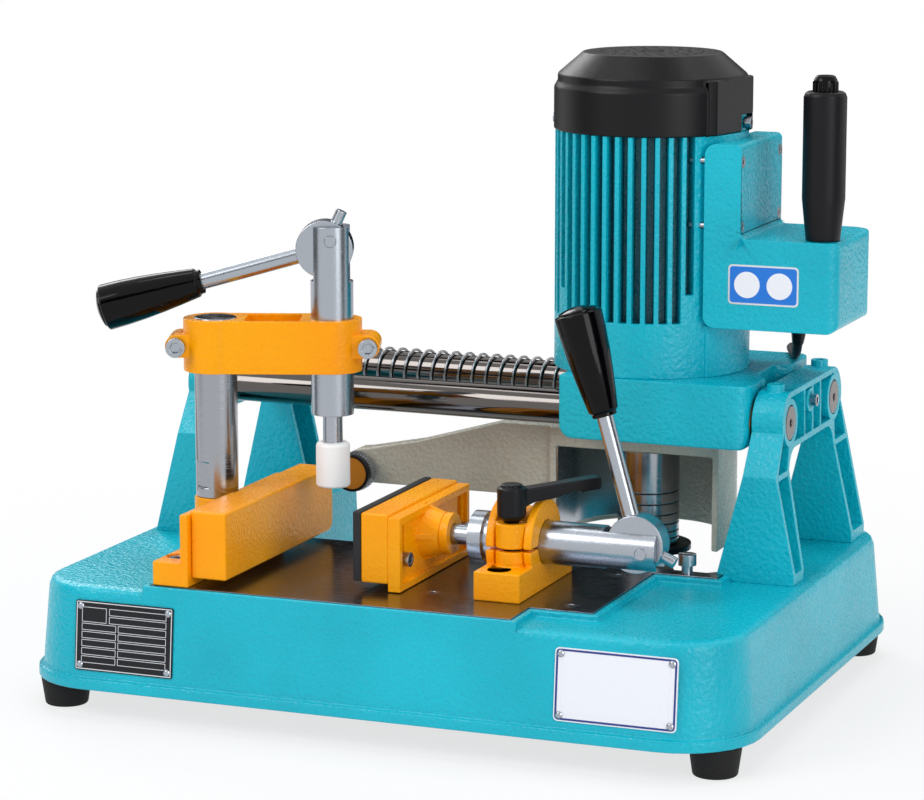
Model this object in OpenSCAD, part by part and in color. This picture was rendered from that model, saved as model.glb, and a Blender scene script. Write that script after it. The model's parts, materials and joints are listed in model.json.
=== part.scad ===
// Portable end-milling machine for window profiles.
// X runs along the base, Y to the back, Z up; the origin is under the middle of the base.
// The milling head stands at the right end of its travel and both cam clamps are shut.

/* [Base casting] */
// Length of the base along X
base_l = 530; // [500:1:600]
// Depth of the base along Y
base_w = 416; // [400:1:470]
// Height of the painted top above the bench
base_top = 93; // [85:1:110]
// Corner radius in plan
base_corner = 56; // [30:1:70]
// Wall thickness of the casting
base_wall = 8; // [5:0.5:10]
// How far the walls lean in on the way up
base_draft = 8.5; // [4:0.5:12]
// Height of the rubber feet
foot_h = 21; // [15:1:30]
// Largest radius of a rubber foot
foot_r = 18; // [14:0.5:20]
// Height of the table surface above the painted top
table_rise = 4.7; // [3:0.1:8]
// Thickness of the steel table plate
table_t = 5; // [4:0.5:6]

/* [Brackets and guide bars] */
// Radius of a guide bar
bar_r = 12.5; // [10:0.5:14]
// Distance between the two guide bars
bar_gap = 110; // [100:1:120]
// Height of the guide bars above the bench
bar_z = 201; // [195:1:215]
// Width of a bracket's foot along X
bracket_foot = 57; // [50:1:62]
// Width of a bracket's top along X
bracket_top = 23; // [20:1:28]
// Thickness of a bracket's web and lips
bracket_wall = 4.5; // [3:0.5:6]
// Wire radius of the return spring
spring_wire = 1; // [0.8:0.1:1.4]
// Distance between the spring's turns
spring_pitch = 11; // [9:0.5:14]

/* [Carriage and motor] */
// Length of the carriage along X
carriage_l = 139; // [130:1:145]
// Depth of the carriage along Y
carriage_w = 156; // [150:1:160]
// Height of the carriage casting
carriage_h = 45; // [42:1:50]
// Outer radius of the motor
motor_r = 69; // [65:0.5:72]
// Height of the plain lower part of the motor
motor_plain_h = 39; // [30:1:45]
// Height of the finned part of the motor
motor_fin_h = 131; // [120:1:150]
// Depth of the fins
fin_depth = 10; // [6:0.5:12]
// Thickness of a fin
fin_t = 3.4; // [3:0.2:5]
// Height of the fan cowl
cowl_h = 54.5; // [48:0.5:62]
// Radius of the cowl's flat top
cowl_top_r = 49.5; // [42:0.5:54]

/* [Spindle] */
// Radius of the arbor inside the rings
arbor_r = 10; // [8:0.5:12]
// Outer radius of the spacer rings
ring_r = 22.4; // [20:0.2:24]
// Radius of the end flange
flange_r = 31.4; // [28:0.2:33]
// Thickness of the end flange
flange_t = 4.5; // [3:0.5:6]

/* [Control box and grip] */
// Depth of the control box along Y
box_w = 98; // [90:1:104]
// Width of the tall part along X
box_tall_w = 27; // [24:1:32]
// Width of the low part beyond the tall part
box_low_w = 70; // [60:1:70.5]
// Height of the tall part
box_tall_h = 129; // [115:1:131]
// Height of the low part
box_low_h = 63.5; // [55:0.5:75]
// Wall thickness of the box
box_wall = 4; // [3:0.5:6]
// Radius of the rubber grip
grip_r = 15; // [12:0.5:17]
// Length of the grip
grip_h = 103.5; // [90:0.5:115]

/* [Chip guard and end stop] */
// Inner radius of the chip guard
guard_r = 59; // [52:0.5:62]
// Wall thickness of the guard
guard_wall = 5; // [4:0.5:6]
// Height of the guard below the carriage
guard_h = 82; // [70:1:84]
// Thickness of the stop arm along Y
stop_arm_t = 18; // [14:1:20]
// Radius of the stop disc
stop_r = 14; // [11:0.5:16]

/* [Clamps] */
// Radius of the clamp tubes and of the column
tube_r = 15; // [13:0.5:16]
// Radius of a plunger rod
plunger_r = 7; // [5:0.5:8]
// Radius of a cam hub
cam_r = 20; // [17:0.5:22]
// Thickness of a cam hub
cam_t = 16; // [12:0.5:18]
// Offset of the cam hub from its pin
cam_offset = 8; // [6:0.5:9]
// Radius of a lever rod
lever_r = 5.75; // [5:0.25:6.5]
// Distance from the hub to the narrow end of a lever knob
lever_reach = 89; // [80:1:100]
// Length of a lever knob without its cap
knob_h = 72; // [60:1:80]
// Wide radius of a lever knob
knob_r = 16.3; // [14:0.1:18]
// Distance from the column to the upper clamp tube
arm_reach = 82; // [76:1:95]
// Height of the clamp arm
arm_h = 37; // [30:1:42]
// Turn of the clamp arm from the X axis
arm_turn = 20; // [10:1:25]
// Height of the fixed jaw's face
jaw_h = 47; // [40:1:55]
// Length of the fixed jaw
jaw_l = 180; // [160:1:184]
// Length of the pushing jaw
push_l = 128; // [110:1:140]
// Thickness of the rubber on the pushing jaw
rubber_t = 6; // [4:0.5:8]

/* [Plates] */
// Length of the rating plate
rating_l = 75; // [60:1:80]
// Height of the rating plate
rating_h = 49; // [40:1:50]
// Length of the badge plate
badge_l = 85; // [70:1:90]
// Height of the badge plate
badge_h = 49; // [40:1:50]

/* [Fits] */
// Radial clearance where one piece runs or slides in another
run_gap = 0.05; // [0.02:0.01:0.08]
// Clearance between fixed pieces
fixed_gap = 0.15; // [0.1:0.05:0.3]

/* [Hidden] */
$fn = 48;
eps = 0.02;

// Base and table
rim_h = 8;
rim_step = 3;
edge_round = 7.5;
table_z = base_top + table_rise;
table_bottom = table_z - table_t;
pad_z = table_z - 0.5;
pad_lip = 5;
front_y = -base_w / 2 + base_draft + 0.4;
table_lip = 2.6;
foot_sink = 9;
notch_x0 = -178;
notch_x1 = 184;
notch_y = -20;
notch_corner = 15;
table_x0 = -160;
table_x1 = 105;
table_x2 = 150;
table_x3 = 196;
table_step_y = -160.5;
strip_y = -34;
foot_x = base_l / 2 - 25;
foot_y = base_w / 2 - 36;
foot_boss_r = 13;
foot_screw_r = 4;
table_screws_at = [[29, -145], [129, -145], [-118, -150], [-118, -45], [129, -50]];
table_screw_r = 3;
strip_bolt = [172, -27];

// Brackets, guide bars and spring
bar_mid_y = 72;
bar_y0 = bar_mid_y - bar_gap / 2;
bar_y1 = bar_mid_y + bar_gap / 2;
bracket_x = 190;
bracket_step = -435;
bracket_lean = 19;
bracket_z0 = base_top;
knee_z = base_top + 75;
bracket_round = 20;
bracket_y0 = bar_y0 - 37;
bracket_y1 = bar_y1 + 37;
bracket_wall_x = bracket_x + bracket_lean;
bracket_right = bracket_wall_x + bracket_top + 1;
bracket_crest = bar_z + bracket_round + 2;
arch_y0 = bar_y0 - 13;
arch_y1 = bar_y1 + 2;
arch_top = bar_z - 19;
arch_round = 16;
bar_boss_r = bar_r + 4.5;
foot_floor = 8;
leg_bolt_x = bracket_x + 38;
leg_bolt_r = 4;
leg_bolt_l = 24;
leg_bolts_y = [bracket_y0 + 12, bracket_y1 - 17];
mid_screw_r = 2.5;
mid_screw_y = bar_mid_y - 5;
mid_screw_z = bar_z + 8;
set_boss_r = 6.2;
set_screw_r = 3;
bar_x0 = bracket_wall_x + bracket_step + 2;
bar_x1 = bracket_right - 0.5;
spring_r = bar_r + spring_wire + 0.7;

// Carriage
carriage_x1 = bracket_wall_x - 1.5;
carriage_x0 = carriage_x1 - carriage_l;
carriage_y0 = bar_mid_y - carriage_w / 2 - 1;
carriage_y1 = carriage_y0 + carriage_w;
carriage_z0 = bar_z - 18;
carriage_z1 = carriage_z0 + carriage_h;
bush_wall = 3.5;
bush_r = bar_r + bush_wall;
bush_l = 30;

// Motor and spindle
motor_x = 112;
motor_y = 65;
fin_z = carriage_z1 + motor_plain_h;
cowl_z = fin_z + motor_fin_h;
cowl_top = cowl_z + cowl_h;
cowl_r = motor_r + 1;
cowl_wall = 2.5;
cowl_band_h = 30;
cowl_bevel = 2.6;
cowl_bevel_h = 4.3;
cowl_cone_z = cowl_band_h + cowl_bevel_h + 4.8;
cowl_pads = [-11, 128];
cowl_pad_x = cowl_r - 3;
cowl_pad_h = cowl_cone_z - 0.8;
cowl_pad_half = 26.5;
cowl_notches = [5, 95, 185];
cowl_notch_w = 17;
cowl_notch_h = 12;
spigot_r = cowl_r - cowl_wall - fixed_gap;
spigot_h = 14;
vent_rings = [[18, 12], [27, 18], [36, 24]];
fin_count = 45;
stator_r = motor_r - fin_depth - 5;
lug_rise = 20;
box_seat = 38;
rotor_r = 36;
shaft_r = 12.5;
bearing_r = 26;
bearing_h = 15;
bearing_z = carriage_z1 + 6;
shield_h = 18;
shield_z = cowl_z - shield_h;
arbor_bottom = base_top - 4;
flange_z = base_top - 1;
ring_heights = [5, 5, 6, 7, 8, 8];
ring_groove = 1;
sleeve_top = carriage_z0 + 12;

// Control box and grip
box_x0 = motor_x + 55;
box_x1 = box_x0 + box_tall_w;
box_x2 = box_x1 + box_low_w;
box_y0 = motor_y - box_w / 2;
box_z0 = carriage_z1 + 36.5;
box_low_z = box_z0 + box_low_h;
box_top = box_z0 + box_tall_h;
box_corner = 20;
box_front_r = 9;
box_edge_r = 8;
box_top_r = 4;
box_screw_r = 2.2;
grip_x = box_x2 - 15.5;
grip_y = box_y0 + 16;
grip_tube_r = 8;
gland_x = 214;
gland_y = 96;
gland_r = 7.5;
gland_h = 4;
lead_turn = 28.5;
lead_side = 112;

// Chip guard and end stop
guard_z0 = carriage_z0 - guard_h;
guard_out = guard_r + guard_wall;
guard_front = 30;
liner_t = 1.2;
stop_x = -102;
stop_z = carriage_z0 - 43;
stop_arm_y0 = 34;
stop_screw_r = 5;

// Fixed jaw and column
col_x = -150;
col_y = -110;
jaw_face_x = -104.5;
jaw_t = 26.5;
jaw_web_t = 6;
jaw_z0 = table_z + 6;
jaw_y1 = -12;
jaw_flange_h = 17;
jaw_screw_sink = 9;
jaw_corner = 7;
jaw_foot_x = -158;
col_boss_r = tube_r + 1;
col_boss_top = table_z + 47;
col_flat = tube_r - 1.9;
col_flat_turn = 67;
arm_z0 = table_z + 137;
arm_z1 = arm_z0 + arm_h;
arm_wall = 6;
arm_ear_r = 8;
arm_screw_r = 4;
arm_ear_y = 15;
arm_nut_h = 5;
col_spigot_r = 9;

// Upper clamp
upper_top = arm_z1 + 65;
upper_bottom = arm_z0 - 31;
pin_r = 4.1;
pin_inset = 9.5;
upper_pin_z = upper_top - pin_inset;
cam_lead = 38;
upper_lever_turn = 195.4;
lower_lever_turn = 106;
tube_bore_r = tube_r - 5;
guide_l = 10;
cam_play = 0.6;
cam_seat = 22;
knob_cap_r = knob_r - 3;
knob_cap_h = 1.5;
knob_dome_r = 31;
pad_r = 12;
pad_h = 32;
pad_top = upper_bottom - 20;

// Lower clamp
tube_y = -104;
tube_z = table_z + 32.3;
tube_x0 = 54;
tube_x1 = 178;
lower_pin_x = tube_x1 - pin_inset;
block_x0 = 62.6;
block_x1 = 96;
block_y0 = -156;
block_y1 = -52;
block_base_h = 20;
block_screw_sink = 9;
block_ring_r = 30;
block_core_r = 24;
block_ring_t = 6;
lock_y = -127;
lock_r = 11;
lock_top = tube_z + 17;
lock_turn = 45;
plate_x0 = 1;
plate_x1 = 10;
push_y0 = -158;
push_z0 = table_z + 0.6;
push_h = 51.5;
pad_x0 = plate_x0 - 20;
slot_half = 3.5;
pad_screw_r = 3;
plate_rim = 5;
plate_pocket = 3;
slot_ys = [push_y0 + 12, push_y0 + push_l - 12];
slot_low = push_z0 + 21;
slot_rise = 20;

// Power lead
cord_r = 3.5;
cord_sides = 10;
coil_x = 128;
coil_y = 268;
coil_mid = 40;
coil_turns_wide = 3;
coil_layers = 2;
plug_turn = 135;
plug_r = 18;
cord_low_route = [
    [201, 127, carriage_z1 + 4], [197.5, 137, carriage_z1 + 4], [194, 146, carriage_z1 + 4],
    [192, 154, carriage_z1 + 3], [191, 161, carriage_z1], [190, 167.5, 222.5], [190, 172.5, 212],
    [190, 180, 194], [191, 187, 175], [192, 194, 156], [193, 200, 138], [194, 206, 120],
    [195, 211, 103], [196, 215, 86], [196, 218, 70], [196, 221, 54], [195, 224, 39],
    [193, 228, 26], [190, 234, 15.5], [186, 242, 8.5], [181, 251, 4.8], [177, 260, 3.5],
    [175, 268, 3.5]
];

teal = [0.07, 0.70, 0.76];
orange = [1.0, 0.62, 0.0];
steel = [0.72, 0.73, 0.75];
black = [0.08, 0.08, 0.09];
warm_grey = [0.62, 0.60, 0.55];

// ---------- small shapes ----------

function arc(cx, cy, r, a0, a1, n = 8) =
    [for (i = [0 : n]) [cx + r * cos(a0 + (a1 - a0) * i / n), cy + r * sin(a0 + (a1 - a0) * i / n)]];

module block(x, y, z) {
    translate([x[0], y[0], z[0]]) cube([x[1] - x[0], y[1] - y[0], z[1] - z[0]]);
}

module rod_x(x, y, z, r) {
    translate([x[0], y, z]) rotate([0, 90, 0]) cylinder(r = r, h = x[1] - x[0]);
}

module rod_y(x, y, z, r) {
    translate([x, y[0], z]) rotate([-90, 0, 0]) cylinder(r = r, h = y[1] - y[0]);
}

module rod_z(x, y, z, r) {
    translate([x, y, z[0]]) cylinder(r = r, h = z[1] - z[0]);
}

// A flat outline drawn in Y and Z, extruded along X
module extrude_x(x) {
    translate([x[0], 0, 0]) rotate([90, 0, 90]) linear_extrude(x[1] - x[0]) children();
}

// A flat outline drawn in X and Z, extruded along Y
module extrude_y(y) {
    translate([0, y[1], 0]) rotate([90, 0, 0]) linear_extrude(y[1] - y[0]) children();
}

// A socket-head screw that points down, its head's underside at the origin
module cap_screw(r, length) {
    translate([0, 0, -length]) cylinder(r = r, h = length);
    difference() {
        cylinder(r = 1.7 * r, h = 2 * r);
        translate([0, 0, r]) cylinder(r = r, h = r + eps, $fn = 6);
    }
}

// A countersunk screw that points down, its flat top at the origin
module flat_screw(r, length) {
    difference() {
        rotate_extrude() polygon([[0, -length], [r, -length], [r, -r], [2 * r, 0], [0, 0]]);
        translate([0, 0, -0.8 * r]) cylinder(r = 0.9 * r, h = r, $fn = 6);
    }
}

// The hole of a countersunk screw, with clearance
module flat_screw_hole(r, length) {
    rotate_extrude() polygon([
        [0, -length], [r + fixed_gap, -length], [r + fixed_gap, -r - fixed_gap],
        [2 * r + fixed_gap, 0], [2 * r + fixed_gap, 1], [0, 1]
    ]);
}

// ---------- base ----------

// A tower of rounded rectangles, each level [inset from the rim, height]
module rounded_tower(levels) {
    cx = base_l / 2 - base_corner;
    cy = base_w / 2 - base_corner;
    centres = [[cx, cy], [-cx, cy], [-cx, -cy], [cx, -cy]];
    rings = [for (level = levels) [for (i = [0 : 3])
        for (p = arc(centres[i][0], centres[i][1], base_corner - level[0], 90 * i, 90 * i + 90))
            [p[0], p[1], level[1]]]];
    m = len(rings[0]);
    polyhedron(points = [for (ring = rings) each ring], faces = concat(
        [[for (j = [0 : m - 1]) j]],
        [for (i = [0 : len(levels) - 2]) for (j = [0 : m - 1]) let (k = (j + 1) % m)
            [i * m + j, (i + 1) * m + j, (i + 1) * m + k, i * m + k]],
        [[for (j = [m - 1 : -1 : 0]) (len(levels) - 1) * m + j]]
    ), convexity = 4);
}

// The open bay at the back, grown by a margin
module rear_bay(grow, z) {
    r = notch_corner;
    translate([0, 0, z[0]]) linear_extrude(z[1] - z[0]) polygon(concat(
        [[notch_x0 - grow, base_w], [notch_x0 - grow, notch_y - grow + r]],
        arc(notch_x0 - grow + r, notch_y - grow + r, r, 180, 270),
        arc(notch_x1 + grow - r, notch_y - grow + r, r, 270, 360),
        [[notch_x1 + grow, base_w]]
    ));
}

// Outline of the table plate, grown by a margin, with its front edge at y0
module table_outline(grow, y0) {
    polygon([
        [table_x0 - grow, y0], [table_x1 + grow, y0],
        [table_x1 + grow, table_step_y - grow], [table_x2 + grow, table_step_y - grow],
        [table_x2 + grow, strip_y - grow], [table_x3 + grow, strip_y - grow],
        [table_x3 + grow, notch_y], [table_x0 - grow, notch_y]
    ]);
}

module foot_places() {
    for (sx = [-1, 1], sy = [-1, 1]) translate([sx * foot_x, sy * foot_y, 0]) children();
}

module leg_bolt_places() {
    for (x = [leg_bolt_x, leg_bolt_x + bracket_step], y = leg_bolts_y)
        translate([x, y, base_top + foot_floor]) children();
}

module base_casting() color(teal) difference() {
    union() {
        rounded_tower([[0, foot_h], [0, foot_h + rim_h - 1], [1, foot_h + rim_h]]);
        rounded_tower([
            [rim_step, foot_h + rim_h / 2], [base_draft, base_top - edge_round],
            [base_draft + 2.2, base_top - 2.2], [base_draft + edge_round, base_top]
        ]);
        translate([0, 0, base_top - edge_round - 2])
            linear_extrude(pad_z - base_top + edge_round + 2) table_outline(pad_lip, front_y);
    }
    // the hollow stays clear of the foot bosses and of the walls around the bay
    difference() {
        rounded_tower([
            [rim_step + base_wall, foot_h - 1], [base_draft + base_wall, base_top - base_wall]
        ]);
        rear_bay(base_wall, [foot_h - 2, base_top]);
        foot_places() cylinder(r = foot_boss_r, h = base_top);
    }
    rear_bay(0, [foot_h - 1, table_z + 1]);
    translate([0, 0, table_bottom]) linear_extrude(table_t)
        table_outline(fixed_gap, front_y + table_lip - fixed_gap);
    foot_places() cylinder(r = foot_screw_r + fixed_gap, h = base_top - base_wall);
    leg_bolt_places() translate([0, 0, -leg_bolt_l - 1])
        cylinder(r = leg_bolt_r + fixed_gap, h = leg_bolt_l);
    for (p = table_screws_at) rod_z(p[0], p[1], [base_top - 20, base_top], table_screw_r + fixed_gap);
    jaw_screw_places() translate([0, 0, -60]) cylinder(r = 4 + fixed_gap, h = 60);
    block_screw_places() translate([0, 0, -60]) cylinder(r = 4 + fixed_gap, h = 60);
    rod_z(strip_bolt[0], strip_bolt[1], [base_top - 20, base_top], 4 + fixed_gap);
    plate_places() cylinder(r = 1.5 + fixed_gap, h = 20, center = true);
}

module table_plate() color(steel) difference() {
    translate([0, 0, table_bottom]) linear_extrude(table_t) table_outline(0, front_y + table_lip);
    for (p = table_screws_at) translate([p[0], p[1], table_z]) flat_screw_hole(table_screw_r, 12);
    jaw_screw_places() translate([0, 0, -60]) cylinder(r = 4 + fixed_gap, h = 60);
    block_screw_places() translate([0, 0, -60]) cylinder(r = 4 + fixed_gap, h = 60);
    rod_z(strip_bolt[0], strip_bolt[1], [base_top - 20, base_top + 20], 4 + fixed_gap);
}

module table_screws() color(steel) {
    for (p = table_screws_at) translate([p[0], p[1], table_z]) flat_screw(table_screw_r, 18);
    translate([strip_bolt[0], strip_bolt[1], table_z]) {
        rod_z(0, 0, [-18, 6], 4);
        difference() {
            rod_z(0, 0, [6, 14], 6.5);
            block([-8, 8], [-0.8, 0.8], [11.5, 15]);
        }
    }
}

module rubber_feet() color(black) foot_places() difference() {
    cylinder(r1 = foot_r - 3, r2 = foot_r, h = foot_h);
    translate([0, 0, -1]) cylinder(r = 9, h = foot_sink + 1);
    cylinder(r = foot_screw_r + fixed_gap, h = foot_h + 1);
}

module frame_bolts() color(steel) {
    foot_places() translate([0, 0, foot_sink]) rotate([180, 0, 0]) cap_screw(foot_screw_r, foot_h + 19);
    leg_bolt_places() cap_screw(leg_bolt_r, leg_bolt_l);
    jaw_screw_places() cap_screw(4, jaw_flange_h - jaw_screw_sink + 10);
    block_screw_places() cap_screw(4, block_base_h - block_screw_sink + 10);
    for (y = jaw_side_screws) translate([jaw_back_x + 3, y, jaw_z0 + jaw_h / 2])
        rotate([0, -90, 0]) cap_screw(3, 16);
}

// ---------- brackets and bars ----------

module bracket_outline() {
    polygon(concat(
        [[bracket_y0, bracket_z0], [bracket_y0, knee_z]],
        arc(bar_y0, bar_z + 2, bracket_round, 200, 90),
        arc(bar_y1, bar_z + 2, bracket_round, 90, -20),
        [[bracket_y1, knee_z], [bracket_y1, bracket_z0]]
    ));
}

module arch_outline() {
    polygon(concat(
        [[arch_y0, bracket_z0 - 1]],
        arc(arch_y0 + 9 + arch_round, arch_top - arch_round, arch_round, 180, 90),
        arc(arch_y1 - 4 - arch_round, arch_top - arch_round, arch_round, 90, 0),
        [[arch_y1, bracket_z0 - 1]]
    ));
}

// Front view of a bracket, in X and Z
module bracket_taper(web) {
    x0 = bracket_x + web;
    x1 = web > 0 ? bracket_x + bracket_foot + 1 : bracket_x + bracket_foot;
    polygon([
        [x0, bracket_z0 - (web > 0 ? 1 : 0)], [x1, bracket_z0 - (web > 0 ? 1 : 0)],
        [x1, bracket_z0 + (web > 0 ? 200 : foot_floor)],
        [bracket_right + (web > 0 ? 20 : 0), knee_z + (web > 0 ? 40 : 0)],
        [bracket_right + (web > 0 ? 20 : -1), bracket_crest],
        [bracket_wall_x + web + 1, bracket_crest], [bracket_wall_x + web, knee_z]
    ]);
}

module bracket_pockets() {
    lip = bracket_wall;
    difference() {
        union() {
            // front leg, rear leg, and the shoulders above the knee ribs
            polygon([
                [bracket_y0 + lip, bracket_z0 + foot_floor], [bracket_y0 + lip, knee_z - 3],
                [arch_y0 + 9 - lip, knee_z - 3], [arch_y0 + 1 - lip, bracket_z0 + foot_floor]
            ]);
            polygon([
                [arch_y1 + lip, bracket_z0 + foot_floor], [arch_y1 - 4 + lip, knee_z - 3],
                [bracket_y1 - lip, knee_z - 3], [bracket_y1 - lip, bracket_z0 + foot_floor]
            ]);
            polygon([
                [bracket_y0 + lip + 2, knee_z + 1], [bar_y0 - 15, bar_z - 3],
                [bar_y0, bar_z - 3], [arch_y0 + 9 - lip, knee_z + 1]
            ]);
            polygon([
                [bracket_y1 - lip - 2, knee_z + 1], [bar_y1 + 15, bar_z - 3],
                [bar_y1, bar_z - 3], [arch_y1 - 4 + lip, knee_z + 1]
            ]);
            translate([bar_y0, arch_top + lip]) square([bar_gap, bracket_crest - arch_top - 2 * lip]);
        }
        for (y = [bar_y0, bar_y1]) translate([y, bar_z]) circle(r = bar_boss_r);
        for (y = [-20, 0, 20]) translate([bar_mid_y + y - 1.5, arch_top]) square([3, 50]);
        translate([mid_screw_y, mid_screw_z]) circle(r = 8.5);
    }
}

module bracket(step) color(teal) translate([step, 0, 0]) difference() {
    union() {
        difference() {
            intersection() {
                extrude_x([bracket_x, bracket_x + bracket_foot]) bracket_outline();
                extrude_y([bracket_y0 - 1, bracket_y1 + 1]) bracket_taper(0);
            }
            extrude_x([bracket_x - 1, bracket_x + bracket_foot + 1]) arch_outline();
            intersection() {
                extrude_x([bracket_x, bracket_x + bracket_foot + 1]) bracket_pockets();
                extrude_y([bracket_y0 - 1, bracket_y1 + 1]) bracket_taper(bracket_wall);
            }
        }
        for (y = [bar_y0, bar_y1])
            rod_z(bracket_wall_x + 12, y, [bar_z + bar_r + 2, bracket_crest + 5], set_boss_r);
    }
    for (y = [bar_y0, bar_y1]) {
        rod_x([bracket_x, bracket_x + bracket_foot], y, bar_z, bar_r + 0.02);
        rod_z(bracket_wall_x + 12, y, [bar_z, bracket_crest + 6], set_screw_r + fixed_gap);
    }
    for (y = leg_bolts_y)
        rod_z(leg_bolt_x, y, [base_top - 1, base_top + foot_floor + 1], leg_bolt_r + fixed_gap);
    rod_x([bracket_x, bracket_x + bracket_foot], mid_screw_y, mid_screw_z, mid_screw_r + fixed_gap);
    rod_x([bracket_right - 1, bracket_right + 2], mid_screw_y, mid_screw_z, 2 * mid_screw_r + 0.5);
}

module left_bracket() bracket(bracket_step);
module right_bracket() bracket(0);

module bar_set_screws() color(steel) for (step = [0, bracket_step]) {
    for (y = [bar_y0, bar_y1])
        translate([bracket_wall_x + 12 + step, y, 0]) difference() {
            rod_z(0, 0, [bar_z + bar_r + fixed_gap, bracket_crest + 3], set_screw_r);
            translate([0, 0, bracket_crest]) cylinder(r = 1.6, h = 4, $fn = 6);
        }
    translate([bracket_right - 1 + step, mid_screw_y, mid_screw_z]) rotate([0, 90, 0])
        cap_screw(mid_screw_r, 20);
}

module guide_bar(y) color(steel) difference() {
    rod_x([bar_x0, bar_x1], y, bar_z, bar_r);
    rod_x([bar_x1 - 6, bar_x1 + 1], y, bar_z, 2.5);
    rod_x([bar_x0 - 1, bar_x0 + 6], y, bar_z, 2.5);
}

module front_guide_bar() guide_bar(bar_y0);
module rear_guide_bar() guide_bar(bar_y1);

// A round wire swept along points that turn about the X axis
module coil_wire(x, y, z, r, wire, pitch, steps, sides) {
    turns = (x[1] - x[0] - 2 * wire) / pitch;
    rings = ceil(turns * steps);
    points = [for (i = [0 : rings]) let (a = 360 * turns * i / rings) for (j = [0 : sides - 1])
        let (b = 360 * j / sides, rr = r + wire * cos(b))
        [x[0] + wire + turns * pitch * i / rings + wire * sin(b), y + rr * cos(a), z + rr * sin(a)]];
    faces = concat(
        [[for (j = [0 : sides - 1]) j]],
        [for (i = [0 : rings - 1]) for (j = [0 : sides - 1]) let (k = (j + 1) % sides)
            [i * sides + k, i * sides + j, (i + 1) * sides + j, (i + 1) * sides + k]],
        [[for (j = [sides - 1 : -1 : 0]) rings * sides + j]]
    );
    polyhedron(points = points, faces = faces, convexity = 10);
}

module return_spring() color(steel) coil_wire(
    [bracket_right + bracket_step - 1 + fixed_gap, carriage_x0 - fixed_gap],
    bar_y1, bar_z, spring_r, spring_wire, spring_pitch, 12, 6
);

// ---------- fixed jaw and column ----------

jaw_back_x = jaw_face_x - jaw_t - jaw_web_t;
jaw_side_screws = [jaw_y1 - jaw_l + 30, jaw_y1 - 60];

module jaw_screw_places() {
    for (y = [jaw_y1 - jaw_l + 16, -52])
        translate([-148, y, table_z + jaw_flange_h - jaw_screw_sink]) children();
}

module fixed_jaw_bracket() color(orange) difference() {
    union() {
        block([jaw_foot_x, jaw_back_x + 1], [jaw_y1 - jaw_l - 5, -40], [table_z, table_z + jaw_flange_h]);
        block([jaw_back_x, jaw_back_x + jaw_web_t], [jaw_y1 - jaw_l - 5, -40],
            [table_z, jaw_z0 + jaw_h - 2]);
        intersection() {
            rod_z(col_x, col_y, [table_z, col_boss_top], col_boss_r);
            block([-200, jaw_back_x + 1], [-200, 0], [table_z, col_boss_top]);
        }
    }
    jaw_screw_places() {
        translate([0, 0, -60]) cylinder(r = 4 + fixed_gap, h = 61);
        cylinder(r = 8, h = 20);
    }
    rod_z(col_x, col_y, [col_boss_top - 25, col_boss_top + 1], col_spigot_r + fixed_gap);
    rod_z(col_x, col_y, [col_boss_top, jaw_z0 + jaw_h], tube_r + fixed_gap);
    for (y = jaw_side_screws) {
        rod_x([jaw_back_x - 1, jaw_back_x + 9], y, jaw_z0 + jaw_h / 2, 3 + fixed_gap);
        rod_x([jaw_back_x - 1, jaw_back_x + 3], y, jaw_z0 + jaw_h / 2, 6);
    }
}

module fixed_jaw_block() color(orange) difference() {
    extrude_x([jaw_face_x - jaw_t, jaw_face_x]) polygon(concat(
        [[jaw_y1 - jaw_l, jaw_z0]],
        arc(jaw_y1 - jaw_corner, jaw_z0 + jaw_corner, jaw_corner, 270, 360),
        [[jaw_y1, jaw_z0 + jaw_h], [jaw_y1 - jaw_l, jaw_z0 + jaw_h]]
    ));
    for (y = jaw_side_screws)
        rod_x([jaw_face_x - jaw_t - 1, jaw_face_x - jaw_t + 14], y, jaw_z0 + jaw_h / 2, 3 + fixed_gap);
}

module clamp_column() color(steel) difference() {
    union() {
        rod_z(col_x, col_y, [col_boss_top, arm_z1 + 0.5], tube_r);
        rod_z(col_x, col_y, [col_boss_top - 24, col_boss_top + eps], col_spigot_r);
    }
    // two spanner flats above the boss
    for (side = [0, 180]) translate([col_x, col_y, 0]) rotate([0, 0, col_flat_turn + side])
        block([col_flat, tube_r + 1], [-tube_r, tube_r], [col_boss_top + 7.5, col_boss_top + 25.5]);
}

// ---------- upper clamp ----------

// Places its children in the clamp arm's own frame, where X runs from the column to the tube
module at_column() {
    translate([col_x, col_y, 0]) rotate([0, 0, arm_turn]) children();
}

module at_upper_tube() {
    at_column() translate([arm_reach, 0, 0]) children();
}

module arm_ears(sign) {
    x = sign > 0 ? arm_reach + tube_r + arm_wall : -tube_r - arm_wall;
    z = (arm_z0 + arm_z1) / 2;
    rod_y(x + sign * 5, [-arm_ear_y, arm_ear_y], z, arm_ear_r);
    block([min(x - sign * 8, x + sign * 5), max(x - sign * 8, x + sign * 5)], [-arm_ear_y, arm_ear_y],
        [z - arm_ear_r, z + arm_ear_r]);
}

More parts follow.
